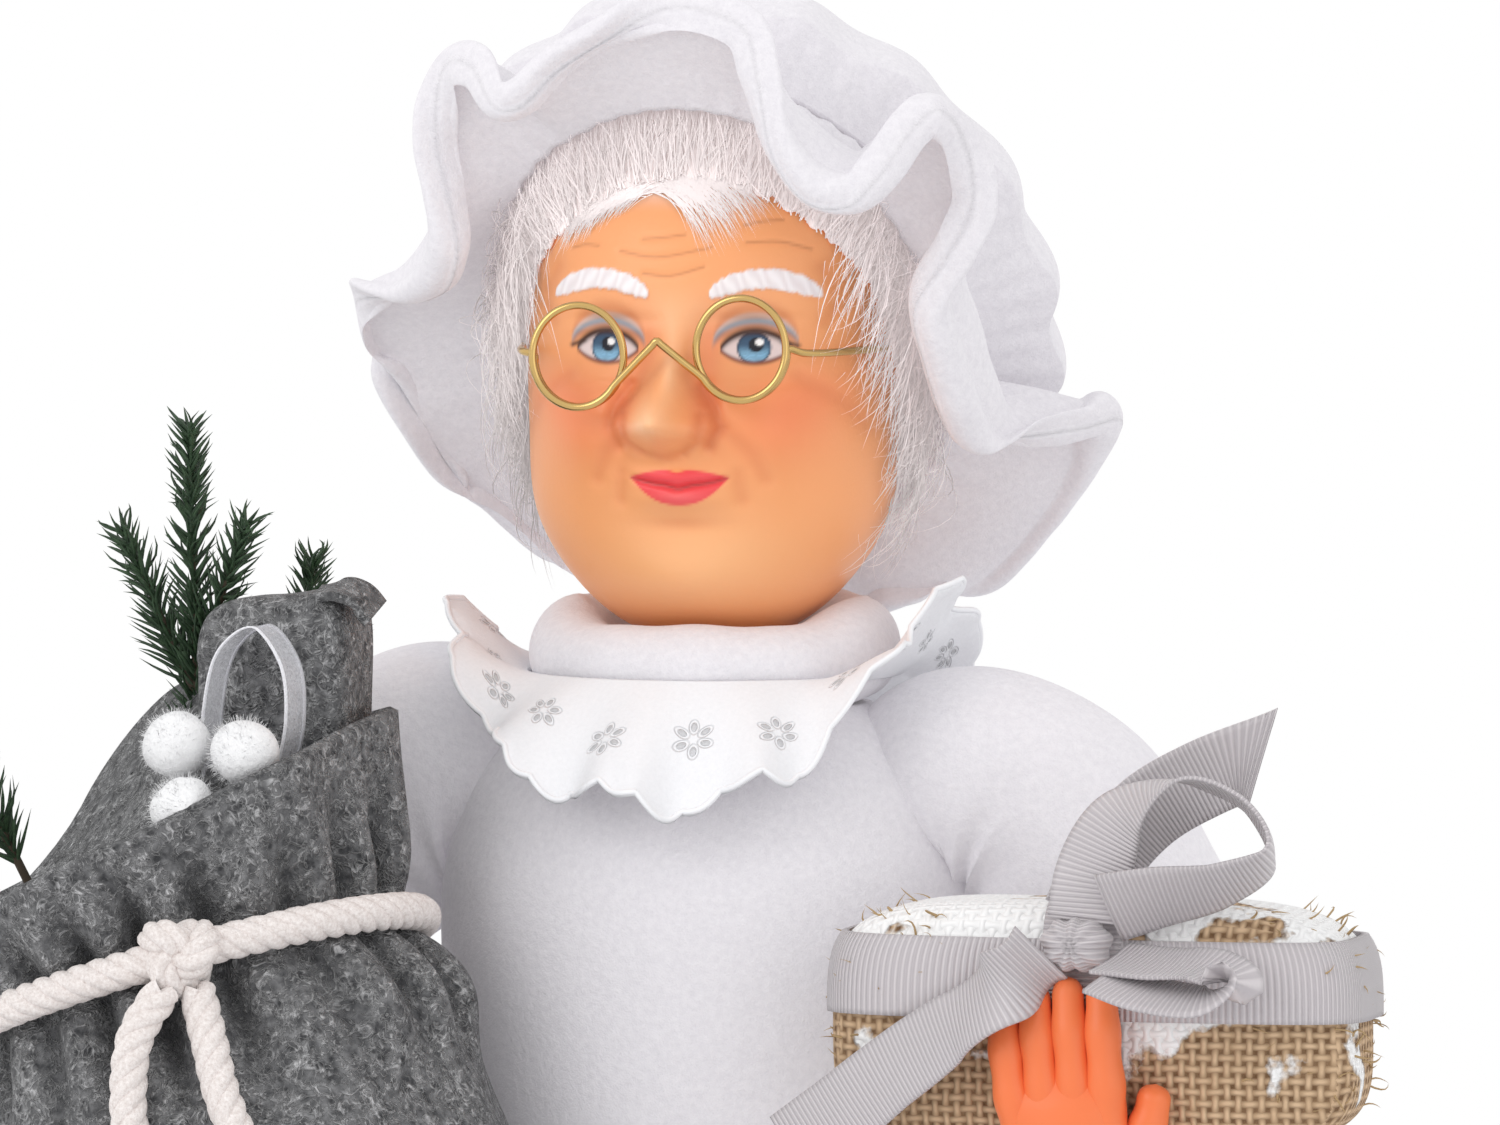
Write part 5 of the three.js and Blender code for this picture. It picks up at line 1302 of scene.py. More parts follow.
class FIGURE_OT_hair(Operator):
    """Wig: a cap of fibre with strands swept back, a parted fringe and wisps down the cheeks"""

    bl_idname = "figure.hair"
    bl_label = "Make hair"

    def execute(self, context):
        given = context.scene.figure_face
        turn = np.linspace(-math.pi, math.pi, 360, endpoint=False)[None]
        share = np.linspace(0.05, 1, 70)[:, None]
        edge = hairline(turn) * share
        comb = 0.4 * np.sin(70 * turn + 3 * np.sin(5 * turn)) + 0.25 * np.sin(131 * turn + 2 * share)
        comb = comb * smooth(share, 0.2, 0.5)
        ragged = 1 + 0.012 * np.sin(61 * turn + 2 * np.sin(7 * turn)) * share ** 6
        outer = scalp(turn + 0 * edge, edge * ragged, 0.7 + 6.0 * (1 - share ** 4) + comb * (1 - share ** 6))
        inner = scalp(turn + 0 * edge, edge * ragged, 0 * edge + 0.3)
        cap = surface("hair_cap", set_head(wall(outer, inner), given), hair(), close_columns=True)
        settle(cap, "head", "hair", "wig")
        rng = np.random.default_rng(21)
        for name, made in (("hair_swept", self.swept(given.strands, rng)), ("hair_fringe", self.fringe(rng)),
                           ("hair_wisps", self.wisps(given.strands, rng))):
            points = set_head(made, given)
            loose = settle(surfaces(name, points, wisp()), "head", "hair")
            outward = unit(points - [0, 4, HEAD_Z]).reshape(-1, 3)
            loose.data.normals_split_custom_set_from_vertices(outward.tolist())
        return {"FINISHED"}

    def swept(self, count, rng):
        """Strands from the front hairline that stand up and lie back over the cap of fibre."""
        turn = rng.uniform(-1.2, 1.2, count)
        root = hairline(turn) + np.radians(rng.uniform(-6, 1.5, count))
        start = scalp(turn, root, rng.uniform(0.3, 1.4, count))
        aside = turn + rng.normal(size=count) * 0.06
        stop = scalp(aside, root - np.radians(rng.uniform(7, 20, count)), rng.uniform(4, 9, count))
        bend = unit(start + stop) * 0.8 + rng.normal(size=(count, 3)) * 0.8
        return strands(start, stop, bend, rng.uniform(0.09, 0.17, count), 7, 3)

    def fringe(self, rng):
        """Fine strands from a parting above the right brow: a sheaf sweeps to each temple."""
        count = 560
        right = (np.arange(count) < 0.5 * count)[:, None]
        along = rng.uniform(size=(count, 1))
        spread = rng.normal(size=(2, count, 2)) * 0.7
        roots, tips = (np.where(right, lerp(*sheaves[0], along), lerp(*sheaves[1], along))
                       for sheaves in np.array([FRINGE_ROOTS, FRINGE_TIPS]))
        root = roots + spread[0]
        tip = lerp(root, tips + 1.4 * spread[1], rng.uniform(0.5, 1, (count, 1)))
        bow = np.where(right, [-0.5, 0.6], [1.0, 1.6]) + rng.normal(size=(count, 2)) * 0.4
        start, middle, stop = (self.brow_point(a[:, 0], a[:, 1], grow) for a, grow in (
            (root, 0.3), (lerp(root, tip, 0.5) + bow, 0.8), (tip, 0.25)))
        return strands(start, stop, middle - lerp(start, stop, 0.5), rng.uniform(0.07, 0.13, count), 9, 3)

    def brow_point(self, x, z, grow):
        """A point on the forehead at a place across and up, found in steps that turn its direction."""
        ways = unit(np.stack([x, -np.sqrt(np.maximum(39.0 ** 2 - x ** 2 - 0.55 * z ** 2, 9)), z], -1))
        for _ in range(6):
            found = head_point(ways)
            ways = unit(ways + np.stack([x - found[..., 0], 0 * x, z - found[..., 2]], -1) / 45)
        return head_point(ways, grow)

    def wisps(self, count, rng):
        """Loose strands over temples and cheeks that fall from under the cap's band."""
        side = np.where(rng.uniform(size=count) < 0.5, -1, 1)
        turn = side * rng.uniform(0.82, 2.15, count)
        root = hairline(turn) + np.radians(rng.uniform(-34, 0, count))
        start = scalp(turn, root, rng.uniform(1.0, 6.5, count))
        aim = np.radians(rng.uniform(6, 42, count))
        stop = scalp(turn - side * rng.uniform(-0.1, 0.22, count), root + aim, rng.uniform(0.5, 8.0, count))
        bend = unit(start + stop) * 1.4 + rng.normal(size=(count, 3)) * 2.2
        return strands(start, stop, bend, rng.uniform(0.07, 0.15, count), 9, 3)


# Mob cap and spectacles

# Cap: lean and place of its band, half sizes and length of the band, depth and puff of the crown
CAP_TILT = 0.6435
CAP_BACK = 6.0
CAP_RISE = 7.0
BAND_HALF = (40.8, 50.0)
BAND_LENGTH = 5.0
CROWN_DEPTH = 40.0
CROWN_PUFF = 19.0

# Spectacles: place and half sizes of the rims, and how far the wire winds round a rim and steps forward there
LENS_SHIFT = -2.5
LENS_UP = 3.2
LENS_MIDDLE = 14.6
LENS_HALF = (8.1, 9.0)
LENS_PLANE = 40.4
RIM_SWEEP = math.radians(-505)
RIM_STEP = 2.4
WIRE_RADIUS = 0.7


def cap_point(angle, radius, forward):
    """A point of the cap: angle from its top towards +X, radius in its leaning plane, reach forward."""
    up = radius * np.cos(angle)
    c, s = math.cos(CAP_TILT), math.sin(CAP_TILT)
    return np.stack(np.broadcast_arrays(radius * np.sin(angle), CAP_BACK - up * s - forward * c,
                                        HEAD_Z + CAP_RISE + up * c - forward * s), -1)


def band_radius(angle):
    """Radius of the oval gathering band."""
    return 1 / np.hypot(np.sin(angle) / BAND_HALF[0], np.cos(angle) / BAND_HALF[1])


def hem_at(turn):
    """The brim's hem on a smooth closed line through its folds: angle, radius and forward reach."""
    table = np.array(BRIM_HEM, float)
    count = len(table)
    place = turn * count
    first = np.floor(place).astype(int)
    w = (place - first)[:, None]
    a, b, c, d = (table[key % count] + (key // count)[:, None] * [360.0, 0.0, 0.0]
                  for key in (first + i for i in (-1, 0, 1, 2)))
    second, third = 2 * a - 5 * b + 4 * c - d, 3 * b - a - 3 * c + d
    return 0.5 * (2 * b + (c - a) * w + second * w ** 2 + third * w ** 3)


class FIGURE_OT_cap(Operator):
    """White fleece mob cap: gathered band, puffed crown and folded brim with a rolled hem"""

    bl_idname = "figure.cap"
    bl_label = "Make cap"

    def brim(self, given):
        """Cloth from band to hem: where the hem lies close, the spare cloth bulges out. The hem is a roll."""
        columns = 760
        hem = hem_at(np.linspace(0, 1, columns, endpoint=False))[None]
        share = np.concatenate([np.linspace(0, 0.76, 30, endpoint=False), np.linspace(0.76, 1, 26)])[:, None]
        angle, cloth_long = np.radians(hem[..., 0]), given.brim_cloth / MM
        root, start = band_radius(angle) + CLOTH / 2, GAP + CLOTH / 2
        spare = cloth_long ** 2 - (hem[..., 1] - root) ** 2 - (hem[..., 2] - start) ** 2
        slack = np.sqrt(np.maximum(spare, 0)) / 2
        small = np.cos(given.band_gathers * angle + 2 * np.sin(3 * angle)) * (1 - share) ** 7
        radius = lerp(root, hem[..., 1], share) + 0.7 * slack * np.sin(math.pi * share) + 0.45 * small
        middle = cap_point(angle + 0 * share, radius, lerp(start, hem[..., 2], share) + 0.3 * small)
        facing = normals(middle)
        facing = unit(sum(np.roll(facing, k, 1) for k in range(-7, 8)))
        middle = uneven(middle, 26, 8, 0.6 * np.sin(math.pi * share), facing)
        roll = given.hem_roll / MM / 2
        span = roll / cloth_long
        swell = roll * np.sqrt(np.maximum(1 - ((share - 1 + span) / span) ** 2, 0))
        swell = np.where(share < 1 - span, np.maximum(swell, 0.7 * CLOTH), swell)
        thick = swell + 0.12 * ripple(middle, 5, 9) * smooth(1 - share, 0, 0.03)
        return wall(middle + thick[..., None] * facing, middle - thick[..., None] * facing)

    def crown(self, grow, given):
        """The crown puffs out behind the band, fullest at the nape, and closes in a gathered dome."""
        angle, share = circle(320), np.linspace(0.002, 1, 90)[:, None]
        puff = band_radius(angle) + CROWN_PUFF * (0.7 - 0.3 * np.cos(angle)) + grow
        dome = np.minimum(share / 0.72, 1) * math.pi / 2
        close = smooth(share, 0.72, 1)
        fold = np.cos(16 * angle + 1.1 * np.sin(3 * angle)) * smooth(share, 0.25, 0.7) * (1 - close) * 1.4
        fold = fold + 0.9 * close * (1 - close) * 4 * np.cos(given.band_gathers * angle)
        radius = lerp(puff * np.sin(dome) + fold, band_radius(angle) + grow, close)
        back = lerp(10 + (CROWN_DEPTH - 10 + grow) * np.cos(dome), 0 * dome, close)
        points = cap_point(angle + 0 * share, radius, -BAND_LENGTH - GAP - back)
        return uneven(points, 30, 14, 0.8, unit(points - [0, CAP_BACK, HEAD_Z]))

    def execute(self, context):
        given = context.scene.figure_cloth
        brim = surface("fleece_brim", self.brim(given), fleece(), True, True, size=(430, 62))
        settle(brim, "head", "fleece", "bonnet_ruffle")
        shell = wall(self.crown(CLOTH, given), self.crown(0, given))
        crown = surface("fleece_crown", shell, fleece(), close_columns=True, size=(400, 200))
        settle(crown, "head", "fleece", "bonnet_crown")
        angle, section = circle(240), circle(20).T
        radius = band_radius(angle) + 1.3 + 1.5 * np.cos(section) + 0.35 * np.cos(given.band_gathers * angle)
        band = cap_point(angle + 0 * section, radius, -BAND_LENGTH / 2 * (1 + np.sin(section)) + 0 * angle)
        settle(surface("fleece_band", band, fleece(), True, True), "head", "fleece", "bonnet_band")
        return {"FINISHED"}


class FIGURE_OT_spectacles(Operator):
    """One bent gold wire: temple, rim, bridge, rim, temple"""

    bl_idname = "figure.spectacles"
    bl_label = "Make spectacles"

    def half(self, side):
        """One side: the temple comes forward, then the wire winds round the rim and on under it."""
        edge = LENS_MIDDLE + LENS_HALF[0]
        temple = [[side * (edge + 10.7), -9.5, LENS_UP], [side * (edge + 8.2), -21.5, LENS_UP],
                  [side * (edge + 2.5) + LENS_SHIFT, 2.5 - LENS_PLANE, LENS_UP]]
        share = np.linspace(0, 1, 60)
        angle = RIM_SWEEP * share
        across = LENS_SHIFT + side * (LENS_MIDDLE + LENS_HALF[0] * np.cos(angle))
        up = LENS_UP + 0.7 * side + LENS_HALF[1] * np.sin(angle)
        rim = np.stack([across, -LENS_PLANE - RIM_STEP * share, up], 1)
        return np.vstack([temple, rim])

    def execute(self, context):
        apex = np.array([[LENS_SHIFT, -LENS_PLANE - RIM_STEP - 1.5, LENS_UP + 2.2]])
        left, right = self.half(1), self.half(-1)[::-1]
        rise = np.array([[0.45], [0.9]])
        bridge = np.vstack([lerp(left[-1:], apex, rise), apex, lerp(right[:1], apex, rise[::-1])])
        path = set_head(even(np.vstack([left, bridge, right]), 700), context.scene.figure_face)
        gold = material("Gold wire", (0.62, 0.42, 0.16), 0.18, Metallic=1.0)
        wire = surface("gold_spectacles", closed_ends(tube(path, WIRE_RADIUS, 12)), gold, close_columns=True)
        settle(wire, "spectacles", "gold_wire", "spectacles_wire")
        return {"FINISHED"}


# Dress

def chin_reach(z):
    """Radius that the turning head needs at heights round a ring: its widest reach within its turn."""
    columns = z.shape[1]
    points = head_point(directions(circle(columns), np.linspace(-1.5, 0, 60)[:, None]))
    across, height = np.hypot(points[..., 0], points[..., 1]), points[..., 2] + HEAD_Z
    reach = np.stack([np.interp(z[:, k], height[:, k], across[:, k], left=0) for k in range(columns)], 1)
    window = round(columns * NECK_TURN / TURN)
    return np.max([np.roll(reach, k, 1) for k in range(-window, window + 1)], 0)


def neckband_half(angle):
    """Half height of the neckband round the neck: lowest at the front, under the chin."""
    return (NECKBAND_HEIGHT - NECKBAND_DIP * smooth(np.cos(angle), -0.1, 0.75)) / 2


class FIGURE_OT_dress(Operator):
    """Fleece dress: flared skirt, bodice, neckband and the stuffed body inside it"""

    bl_idname = "figure.dress"
    bl_label = "Make dress"

    def skirt(self, grow):
        """The skirt's half width runs evenly from hem to waist and swings in folds that deepen downwards."""
        angle, share = circle(352), np.linspace(0, 1, 100)[:, None]
        fold = 6 * (1 - share) ** 1.2 * np.cos(SKIRT_FOLDS * angle + np.sin(2 * angle))
        fold = fold + 0.9 * smooth(share, 0.75, 1) * np.cos(WAIST_GATHERS * angle)
        wide, deep = (lerp(HEM_RADIUS, half, share) + grow + fold for half in WAIST_HALF)
        points = around(angle, wide, deep, lerp(HEM_LIFT, WAIST_Z, share))
        return uneven(points, 40, 31, 0.9, np.array([1, 1, 0]))

    def bodice(self, grow, columns=240, rows=80):
        """The bodice follows its width and depth from waist to neck, with slight unevenness."""
        at = curve(BODICE_SECTIONS, np.linspace(0, 1, rows))
        height = lerp(WAIST_Z, NECK_Z, at[:, :1])
        points = around(circle(columns), at[:, 1:2] + grow, at[:, 2:] + grow, height)
        return uneven(points, 24, 33, 0.9, np.array([1, 1, 0]))

    def execute(self, context):
        flared = wall(self.skirt(CLOTH_OUT), self.skirt(CLOTH_OUT - CLOTH))
        skirt = surface("fleece_skirt", flared, fleece(), True, True, size=(600, 780))
        settle(skirt, "trunk", "fleece", "dress_skirt")
        fitted = wall(self.bodice(CLOTH_OUT), self.bodice(CLOTH_OUT - CLOTH))
        bodice = surface("fleece_bodice", fitted, fleece(), True, True, size=(290, 190))
        settle(bodice, "trunk", "fleece", "dress_bodice")
        lining = material("Stuffing", (0.9, 0.89, 0.87), 1.0)
        inside = closed_ends(self.bodice(-BODY_SINK, 64, 30))
        core = surface("stuffed_body", inside, lining, close_columns=True)
        settle(core, "trunk", "stuffing", "body_core")
        self.neckband()
        return {"FINISHED"}

    def neckband(self):
        """A stuffed ring round the neck that keeps clear of the chin as the head turns."""
        angle, section = circle(200), circle(40).T
        plump = 1 + 0.03 * np.sin(5 * angle + 1) + 0.02 * np.sin(11 * angle)
        radius = NECKBAND_MIDDLE + NECKBAND_WIDTH / 2 * np.cos(section) * plump
        z = NECKBAND_FOOT + neckband_half(angle) * (1 + np.sin(section) * plump)
        need = chin_reach(z)
        radius = np.maximum(radius, need + np.where(need > 0, 0.4 + 2.6 * (1 + np.cos(section)), 0))
        band = surface("fleece_neckband", around(angle, radius, radius, z), fleece(), True, True)
        settle(band, "trunk", "fleece", "neckband")


class FIGURE_OT_collar(Operator):
    """Eyelet lace collar that falls in soft pleats and ends in stitched scallops"""

    bl_idname = "figure.collar"
    bl_label = "Make collar"

    def rings(self, lift):
        """The collar leans out from the neckband, drops at front and back, and is pleated and scalloped."""
        angle, share = circle(COLLAR_COLUMNS), np.linspace(0, 1, COLLAR_ROWS)[:, None]
        raised = 13 * smooth(np.sin(angle), 0.5, 1.0) + 7 * smooth(-np.sin(angle), 0.5, 1.0)
        edge = 3 - 23 * np.cos(angle) ** 2 + raised * smooth(np.cos(angle), -0.5, -0.05)
        wave = COLLAR_PLEATS * (angle - 0.063)
        pleat = share * (2.1 * np.cos(wave + 1.3) + 0.9 * np.cos(5 * angle + 1.0))
        pleat = pleat + share ** 3 * 0.5 * np.cos(27 * angle + 1.5 * np.sin(4 * angle))
        hang = 2.0 * share ** 2 * np.cos(wave) * smooth(np.cos(angle), -0.2, 0.4)
        scallop = 1.4 * np.abs(np.sin(COLLAR_SCALLOPS / 2 * angle)) * smooth(share, 0.8, 1)
        sunk = 1 - (COLLAR_Z - NECKBAND_FOOT) / neckband_half(angle)
        inner = NECKBAND_MIDDLE + NECKBAND_WIDTH / 2 * np.sqrt(1 - sunk ** 2) + 4 * GAP
        radius = inner + share * (16.5 - 4.5 * np.sin(angle) ** 2 + pleat) + 0.6 * scallop
        drop = scallop * np.cos(angle) ** 2
        z = COLLAR_Z + edge * share ** 1.2 + pleat - hang + lift - drop
        return around(angle, radius, radius, z)

    def execute(self, context):
        top, under = self.rings(LACE_THICK), self.rings(0.0)
        collar = surface("lace_ruffle", wall(top, under), lace(), True, True)
        rows = 2 * COLLAR_ROWS
        uv = grid_faces(rows, COLLAR_COLUMNS, True, True)[1]
        edges = [0, COLLAR_ROWS - 1, COLLAR_ROWS, rows - 1, rows]
        across = np.interp(uv[..., 1] * rows, edges, [0, LACE_WIDTH, LACE_WIDTH, 0, 0])
        flat = np.stack([uv[..., 0] * LACE_LENGTH, across], -1)
        set_uv(collar.data, flat)
        settle(collar, "trunk", "lace", "lace_collar")
        hem = tube(np.vstack([top[-1], top[-1][:1]]), 0.55, 6)
        thread = material("Lace thread", (0.88, 0.885, 0.91), 0.7)
        settle(surface("lace_stitching", hem, thread, close_columns=True), "trunk", "lace")
        return {"FINISHED"}


# Arms and hands

def arm_path(arm, side, count):
    """Middle of a sleeve and its radius, from inside the shoulder to the wrist."""
    root = np.array(SLEEVE_ROOT) * [-side, 1, 1, 1]
    at = curve(np.vstack([root, arm]), np.linspace(0, 1, count))
    return at[:, :3] + [side * SHOULDER_X, 0, SHOULDER_Z], at[:, 3]


class FIGURE_OT_arms(Operator):
    """Padded sleeves that bend at the shoulder, cuffs and vinyl hands"""

    bl_idname = "figure.arms"
    bl_label = "Make arms"

    def sleeve(self, arm, side, hand):
        """A round sleeve along the arm, creased across the inside of the elbow and gathered at the cuff."""
        rows, columns = 150, 96
        path, radius = arm_path(arm, side, rows)
        grid = tube(path, radius, columns, (0, 0, 1))
        facing = unit(grid - path[:, None])
        run = np.linspace(0, 1, rows)[:, None]
        bend = np.gradient(unit(np.gradient(path, axis=0)), axis=0)
        sharp = np.linalg.norm(bend, axis=1)[:, None]
        inner = np.clip(np.einsum("ijk,ik->ij", facing, unit(bend)), 0, 1)
        crease = 1.1 * inner * np.sin(run * 95) * np.clip(sharp * 22, 0, 1)
        gather = 0.7 * smooth(run, 0.84, 0.97) * np.cos(SLEEVE_GATHERS * circle(columns))
        grid = uneven(grid, 18, 51 + side, 1.0, facing) + (crease + gather)[..., None] * facing
        name = f"fleece_sleeve_{hand}_arm"
        made = surface(name, closed_ends(grid), fleece(), close_columns=True, size=(130, 230))
        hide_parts(hand + "_sleeve")
        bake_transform(made)

    def end(self, arm, side):
        """Place and direction of a sleeve's end."""
        path = arm_path(arm, side, 400)[0]
        return path[-1], unit(path[-1] - path[-2])

    def cuff(self, arm, side, hand):
        """A short plump ring at the sleeve's end."""
        at, along = self.end(arm, side)
        share = np.linspace(0, 1, 30)
        path = at + along * lerp(GAP, CUFF_LENGTH, share)[:, None]
        radius = arm[-1][3] - 0.4 + 2.6 * np.sin(math.pi * share) ** 0.7
        grid = uneven(tube(path, radius, 90), 7, 55, 0.35, np.ones(3))
        made = surface(f"fleece_cuff_{hand}_arm", closed_ends(grid), fleece(), close_columns=True)
        settle(made, hand + "_arm", "fleece", hand + "_cuff")

    def hand_grids(self, side):
        """Palm, fingers and thumb as rounded tubes: fingers along +Z, palm towards +Y, thumb to the side."""
        keys = [[0, 8.5, 7.1], [6.6, 9.5, 7.1], [14.3, 11, 6.0], [20, 11.2, 5.0], [23.6, 9.7, 3.2]]
        at = curve(keys, np.linspace(0, 1, 48))
        grids = [around(circle(28), at[:, 1:2], at[:, 2:], at[:, :1])]
        for i, share in enumerate((0.94, 1.0, 0.97, 0.8)):
            x, long = side * (1.5 - i) * FINGER_PITCH, FINGER_LENGTH * share
            route = [[x * 0.86, -0.4, 13], [x * 0.97, -1.3, PALM_LENGTH + 1],
                     [x, -0.7, PALM_LENGTH + long * 0.5], [x * 1.04, 1.5, PALM_LENGTH + long]]
            grids.append(self.digit(route, FINGER_RADIUS))
        thumb = np.array([[4.5, 0.5, 3], [11, 1.2, 9], [14.6, 1.7, 15], [16.4, 2, 21]]) * [side, 1, 1]
        grids.append(self.digit(thumb, THUMB_RADIUS))
        return np.stack(grids)

    def digit(self, route, thick):
        """A finger: a tube with slight swells at its joints and a round tip."""
        path = even(route, 48)
        share = np.linspace(0, 1, 48)
        radius = thick * (1 - 0.2 * share + 0.05 * np.cos(share * 3 * TURN))
        tip = np.clip((share - 0.86) / 0.14, 0, 1)
        return tube(path, radius * np.sqrt(np.maximum(1 - tip ** 2, 0.0004)), 28, (1, 0, 0))

    def hand(self, arm, side, facing, hand):
        """The hand set on the sleeve's end with its palm turned the way it holds."""
        at, along = self.end(arm, side)
        palm = unit(facing - along * (facing @ along))
        basis = np.stack([np.cross(palm, along), palm, along])
        grids = self.hand_grids(side) @ basis + at + along * (CUFF_LENGTH + GAP)
        made = surfaces(f"vinyl_hand_{hand}_arm", grids, vinyl())
        set_paint(made.data, np.broadcast_to((*HAND_TONE, 1.0), grids.shape[:-1] + (4,)))
        settle(made, hand + "_arm", "vinyl", hand + "_hand")

    def execute(self, context):
        up, back = np.array([0, 0, 1.0]), np.array([0, 1.0, 0])
        for arm, side, facing, hand in ((LEFT_ARM, 1, back, "left"), (RIGHT_ARM, -1, up, "right")):
            self.sleeve(arm, side, hand)
            self.cuff(arm, side, hand)
            self.hand(arm, side, facing, hand)
        return {"FINISHED"}


# Gift

def gift_reach(ways, grow):
    """How far the gift's squared surface is from its middle in each direction."""
    return (np.abs(ways / (GIFT_HALF + grow)) ** GIFT_POWER).sum(-1, keepdims=True) ** (-1 / GIFT_POWER)


class FIGURE_OT_gift(Operator):
    """Burlap pillow with frayed threads, grosgrain ribbon round it and the bow"""

    bl_idname = "figure.gift"
    bl_label = "Make gift"

    def execute(self, context):
        ball = squared_ball(GIFT_HALF[[1, 2, 0]], GIFT_POWER, 220, 200)
        points = np.stack([ball[..., 2], ball[..., 0], ball[..., 1]], -1)
        points = uneven(points, 16, 71, 0.8, unit(points))
        pillow = surface("burlap_pillow", points + GIFT_AT, burlap(), close_columns=True)
        side_uv(pillow)
        settle(pillow, "left_arm", "burlap", "gift_parcel")
        settle(self.threads(), "left_arm", "burlap")
        self.bands()
        for name, (route, wide) in BOW.items():
            path = even(KNOT_AT + np.array(route), 110)
            run = length_of(path)
            slant = TAIL_SLANT if name == "bow_tail_short" else 0.0
            made = ribbon("ribbon_" + name, path, wide, RIBBON_WIDTH, RIBBON_THICK, grosgrain(),
                          (RIBBON_WIDTH, run), columns=RIBBON_COLUMNS, curl=0.5, slant=slant)
            settle(made, "left_arm", "grosgrain", name)
        self.knot()
        return {"FINISHED"}

    def threads(self):
        """Loose jute threads that stand out of the pillow's ends and upper corners."""
        rng = np.random.default_rng(77)
        count = 150
        ends = np.sign(rng.uniform(-1, 1, count))
        across = ends * rng.uniform(0.75, 1, count)
        ways = unit(np.stack([across, rng.uniform(-0.5, 0.25, count), rng.uniform(-0.35, 0.6, count)], 1))
        roots = ways * gift_reach(ways, -0.6)
        out = unit(ways + rng.normal(size=(count, 3)) * 0.6)
        tips = roots + out * rng.uniform(1.5, 5.0, (count, 1))
        bend = rng.normal(size=(count, 3)) * 0.7
        grids = strands(roots + GIFT_AT, tips + GIFT_AT, bend, rng.uniform(0.12, 0.3, count), 6, 4)
        return surfaces("jute_threads", grids, material("Jute thread", (0.45, 0.31, 0.16), 0.9))

    def bands(self):
        """Ribbon round the gift lengthwise and once across it: strips that follow its surface."""
        turn = circle(300).T
        wide = np.linspace(-RIBBON_WIDTH / 2, RIBBON_WIDTH / 2, RIBBON_COLUMNS)[None]
        flat = np.stack(np.broadcast_arrays(np.cos(turn) * 60, np.sin(turn) * 25, 0 * wide), -1)
        upright = np.stack(np.broadcast_arrays(0 * wide, np.cos(turn) * 25, np.sin(turn) * 25), -1)
        for name, ways, axis, offset in (("lengthwise", flat, 2, BAND_UP), ("across", upright, 0, 0.0)):
            outer, inner = (self.strip(ways, axis, wide + offset, grow) for grow in (BAND_OUT, BAND_IN))
            run = length_of(outer[:, RIBBON_COLUMNS // 2])
            grid = np.concatenate([outer, inner[:, ::-1]], 1) + GIFT_AT
            made = surface("ribbon_" + name, grid, grosgrain(), True, True, size=(2 * RIBBON_WIDTH, run))
            settle(made, "left_arm", "grosgrain", "gift_ribbon_band")

    def strip(self, ways, axis, offset, grow):
        """Points on a layer over the gift's surface, at fixed places along one axis."""
        half = GIFT_HALF + grow
        rest = [k for k in range(3) if k != axis]
        left = np.maximum(1 - np.abs(offset / half[axis]) ** GIFT_POWER, 1e-6)
        size = ((np.abs(ways[..., rest] / half[rest]) ** GIFT_POWER).sum(-1) / left) ** (-1 / GIFT_POWER)
        placed = ways * size[..., None]
        placed[..., axis] = offset
        return placed

    def knot(self):
        """A squeezed ball of ribbon with shallow creases along it."""
        ball = squared_ball(np.array([6.0, 5.4, 4.5]), 2.4, 90, 60)
        crease = 0.35 * np.sin(np.arctan2(ball[..., 2], ball[..., 0]) * 9)
        ball = ball + crease[..., None] * unit(ball)
        made = surface("ribbon_knot", ball + KNOT_AT, grosgrain(), close_columns=True, size=(30, 16))
        settle(made, "left_arm", "grosgrain", "bow_knot")


# Stand and stage

FLOOR_HALF = 2600.0
FLOOR_DROP = 0.5

# Soft lights: place and size in metres, share of the key light's power
LIGHTS = {"key": ((-0.75, -1.2, 1.15), 0.9, 1.0), "fill": ((1.1, -1.0, 0.7), 1.0, 0.35)}


class FIGURE_OT_stand(Operator):
    """Finishes of the hard pieces under the dress"""

    bl_idname = "figure.stand"
    bl_label = "Finish stand"

    def execute(self, context):
        wood = cloth("Sanded softwood", (0.42, 0.25, 0.12), (0.60, 0.41, 0.23), 9.0, 0.05, 0.6)
        card = cloth("Grey card", (0.40, 0.32, 0.22), (0.50, 0.41, 0.30), 3.0, 0.05, 0.9)
        wire = material("Soft wire", (0.5, 0.51, 0.52), 0.45, Metallic=1.0)
        finishes = {"base_plate": wood, "centre_post": wood, "skirt_cone": card, "left_arm_wire": wire,
                    "right_arm_wire": wire}
        for name, finish in finishes.items():
            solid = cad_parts[name]
            solid.data.materials.clear()
            solid.data.materials.append(finish)
        return {"FINISHED"}


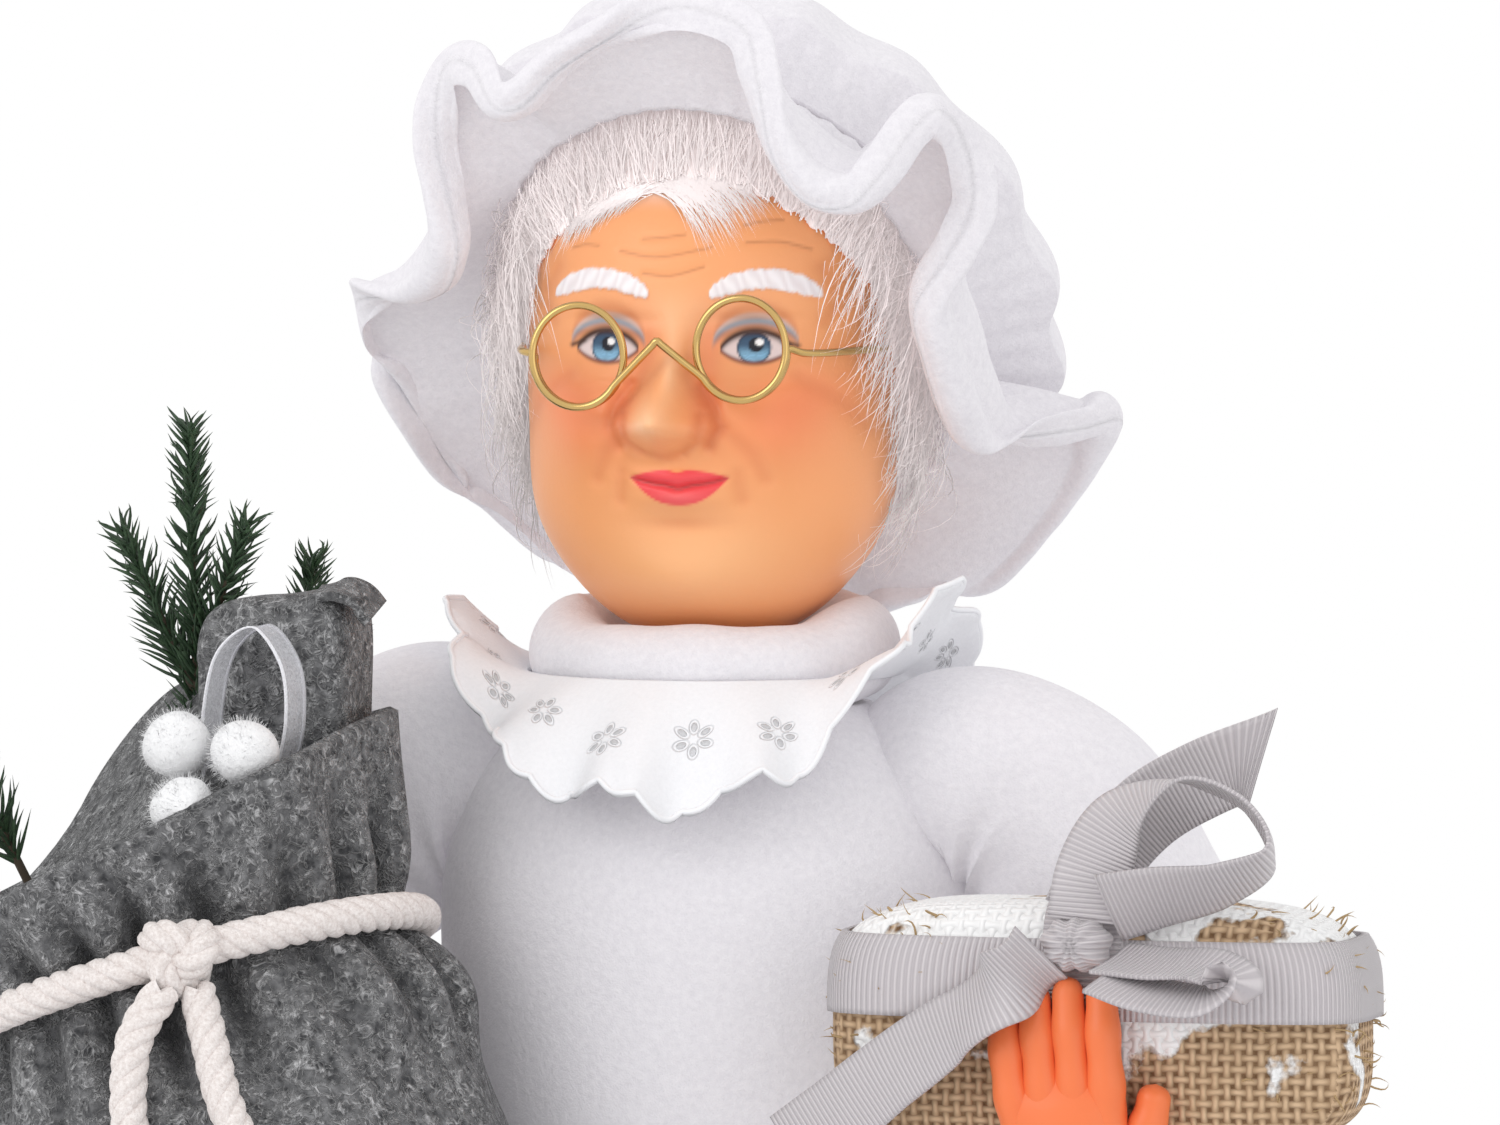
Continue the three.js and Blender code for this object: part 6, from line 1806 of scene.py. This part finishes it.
class FIGURE_OT_stage(Operator):
    """Pale floor, even room light, two large soft lights and the camera"""

    bl_idname = "figure.stage"
    bl_label = "Make stage"

    def execute(self, context):
        given = context.scene.figure_stage
        span = np.linspace(-FLOOR_HALF, FLOOR_HALF, 3)
        x, y = np.meshgrid(span, span)
        pale = material("Pale floor", (0.82, 0.82, 0.83), 0.9)
        surface("floor", np.stack([x, y, 0 * x - FLOOR_DROP], -1), pale)
        world = bpy.data.worlds.new("Even room")
        world.use_nodes = True
        light = world.node_tree.nodes["Background"].inputs
        light["Color"].default_value = (1.0, 1.0, 1.0, 1.0)
        light["Strength"].default_value = given.room
        context.scene.world = world
        middle = Vector((0.0, 0.0, given.height))
        for name, (place, size, share) in LIGHTS.items():
            light = bpy.data.lights.new(name, "AREA")
            light.size = size
            light.energy = given.key * share
            lamp = bpy.data.objects.new(name, light)
            lamp.location = place
            lamp.rotation_euler = (middle - lamp.location).to_track_quat("-Z", "Y").to_euler()
            context.scene.collection.objects.link(lamp)
        self.camera(context, given)
        return {"FINISHED"}

    def camera(self, context, given):
        """The camera looks at the picture's middle, with a lens that shows the wanted width there."""
        a, e = given.azimuth, given.elevation
        back = Vector((math.sin(a) * math.cos(e), -math.cos(a) * math.cos(e), math.sin(e)))
        target = Vector((math.cos(a), math.sin(a), 0)) * given.shift + Vector((0, 0, given.height))
        lens = bpy.data.cameras.new("camera")
        lens.sensor_width = 36.0
        lens.lens = lens.sensor_width * given.distance / given.width
        lens.clip_start, lens.clip_end = 0.05, 60.0
        made = bpy.data.objects.new("camera", lens)
        made.location = target + back * given.distance
        made.rotation_euler = (-back).to_track_quat("-Z", "Y").to_euler()
        context.scene.collection.objects.link(made)
        context.scene.camera = made
        context.scene.view_settings.view_transform = "Standard"


STEPS = (
    "stage", "cords", "sack", "contents", "head", "hair", "cap", "spectacles", "dress", "collar", "arms",
    "gift", "stand",
)


class FIGURE_PT_panel(Panel):
    """Sidebar with the settings and one button for each group of pieces"""

    bl_idname = "FIGURE_PT_panel"
    bl_label = "Figure"
    bl_space_type = "VIEW_3D"
    bl_region_type = "UI"
    bl_category = "Figure"

    def draw(self, context):
        for settings in (context.scene.figure_stage, context.scene.figure_cloth, context.scene.figure_face):
            for key in settings.__annotations__:
                self.layout.prop(settings, key)
        for step in STEPS:
            self.layout.operator("figure." + step)


SETTINGS = (("figure_stage", FigureStage), ("figure_cloth", FigureCloth), ("figure_face", FigureFace))
CLASSES = (
    FIGURE_OT_stage, FIGURE_OT_cords, FIGURE_OT_sack, FIGURE_OT_contents, FIGURE_OT_head, FIGURE_OT_hair,
    FIGURE_OT_cap, FIGURE_OT_spectacles, FIGURE_OT_dress, FIGURE_OT_collar, FIGURE_OT_arms, FIGURE_OT_gift,
    FIGURE_OT_stand, FIGURE_PT_panel,
)


def register():
    """Adds the settings, operators and panel."""
    for name, kind in SETTINGS:
        bpy.utils.register_class(kind)
        setattr(bpy.types.Scene, name, PointerProperty(type=kind))
    for kind in CLASSES:
        bpy.utils.register_class(kind)


def unregister():
    """Takes the settings, operators and panel away again."""
    for kind in reversed(CLASSES):
        bpy.utils.unregister_class(kind)
    for name, kind in reversed(SETTINGS):
        delattr(bpy.types.Scene, name)
        bpy.utils.unregister_class(kind)


def main():
    """Builds every group of pieces in order."""
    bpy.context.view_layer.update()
    register()
    for step in STEPS:
        getattr(bpy.ops.figure, step)()
    bpy.context.view_layer.update()


if __name__ == "__main__":
    main()
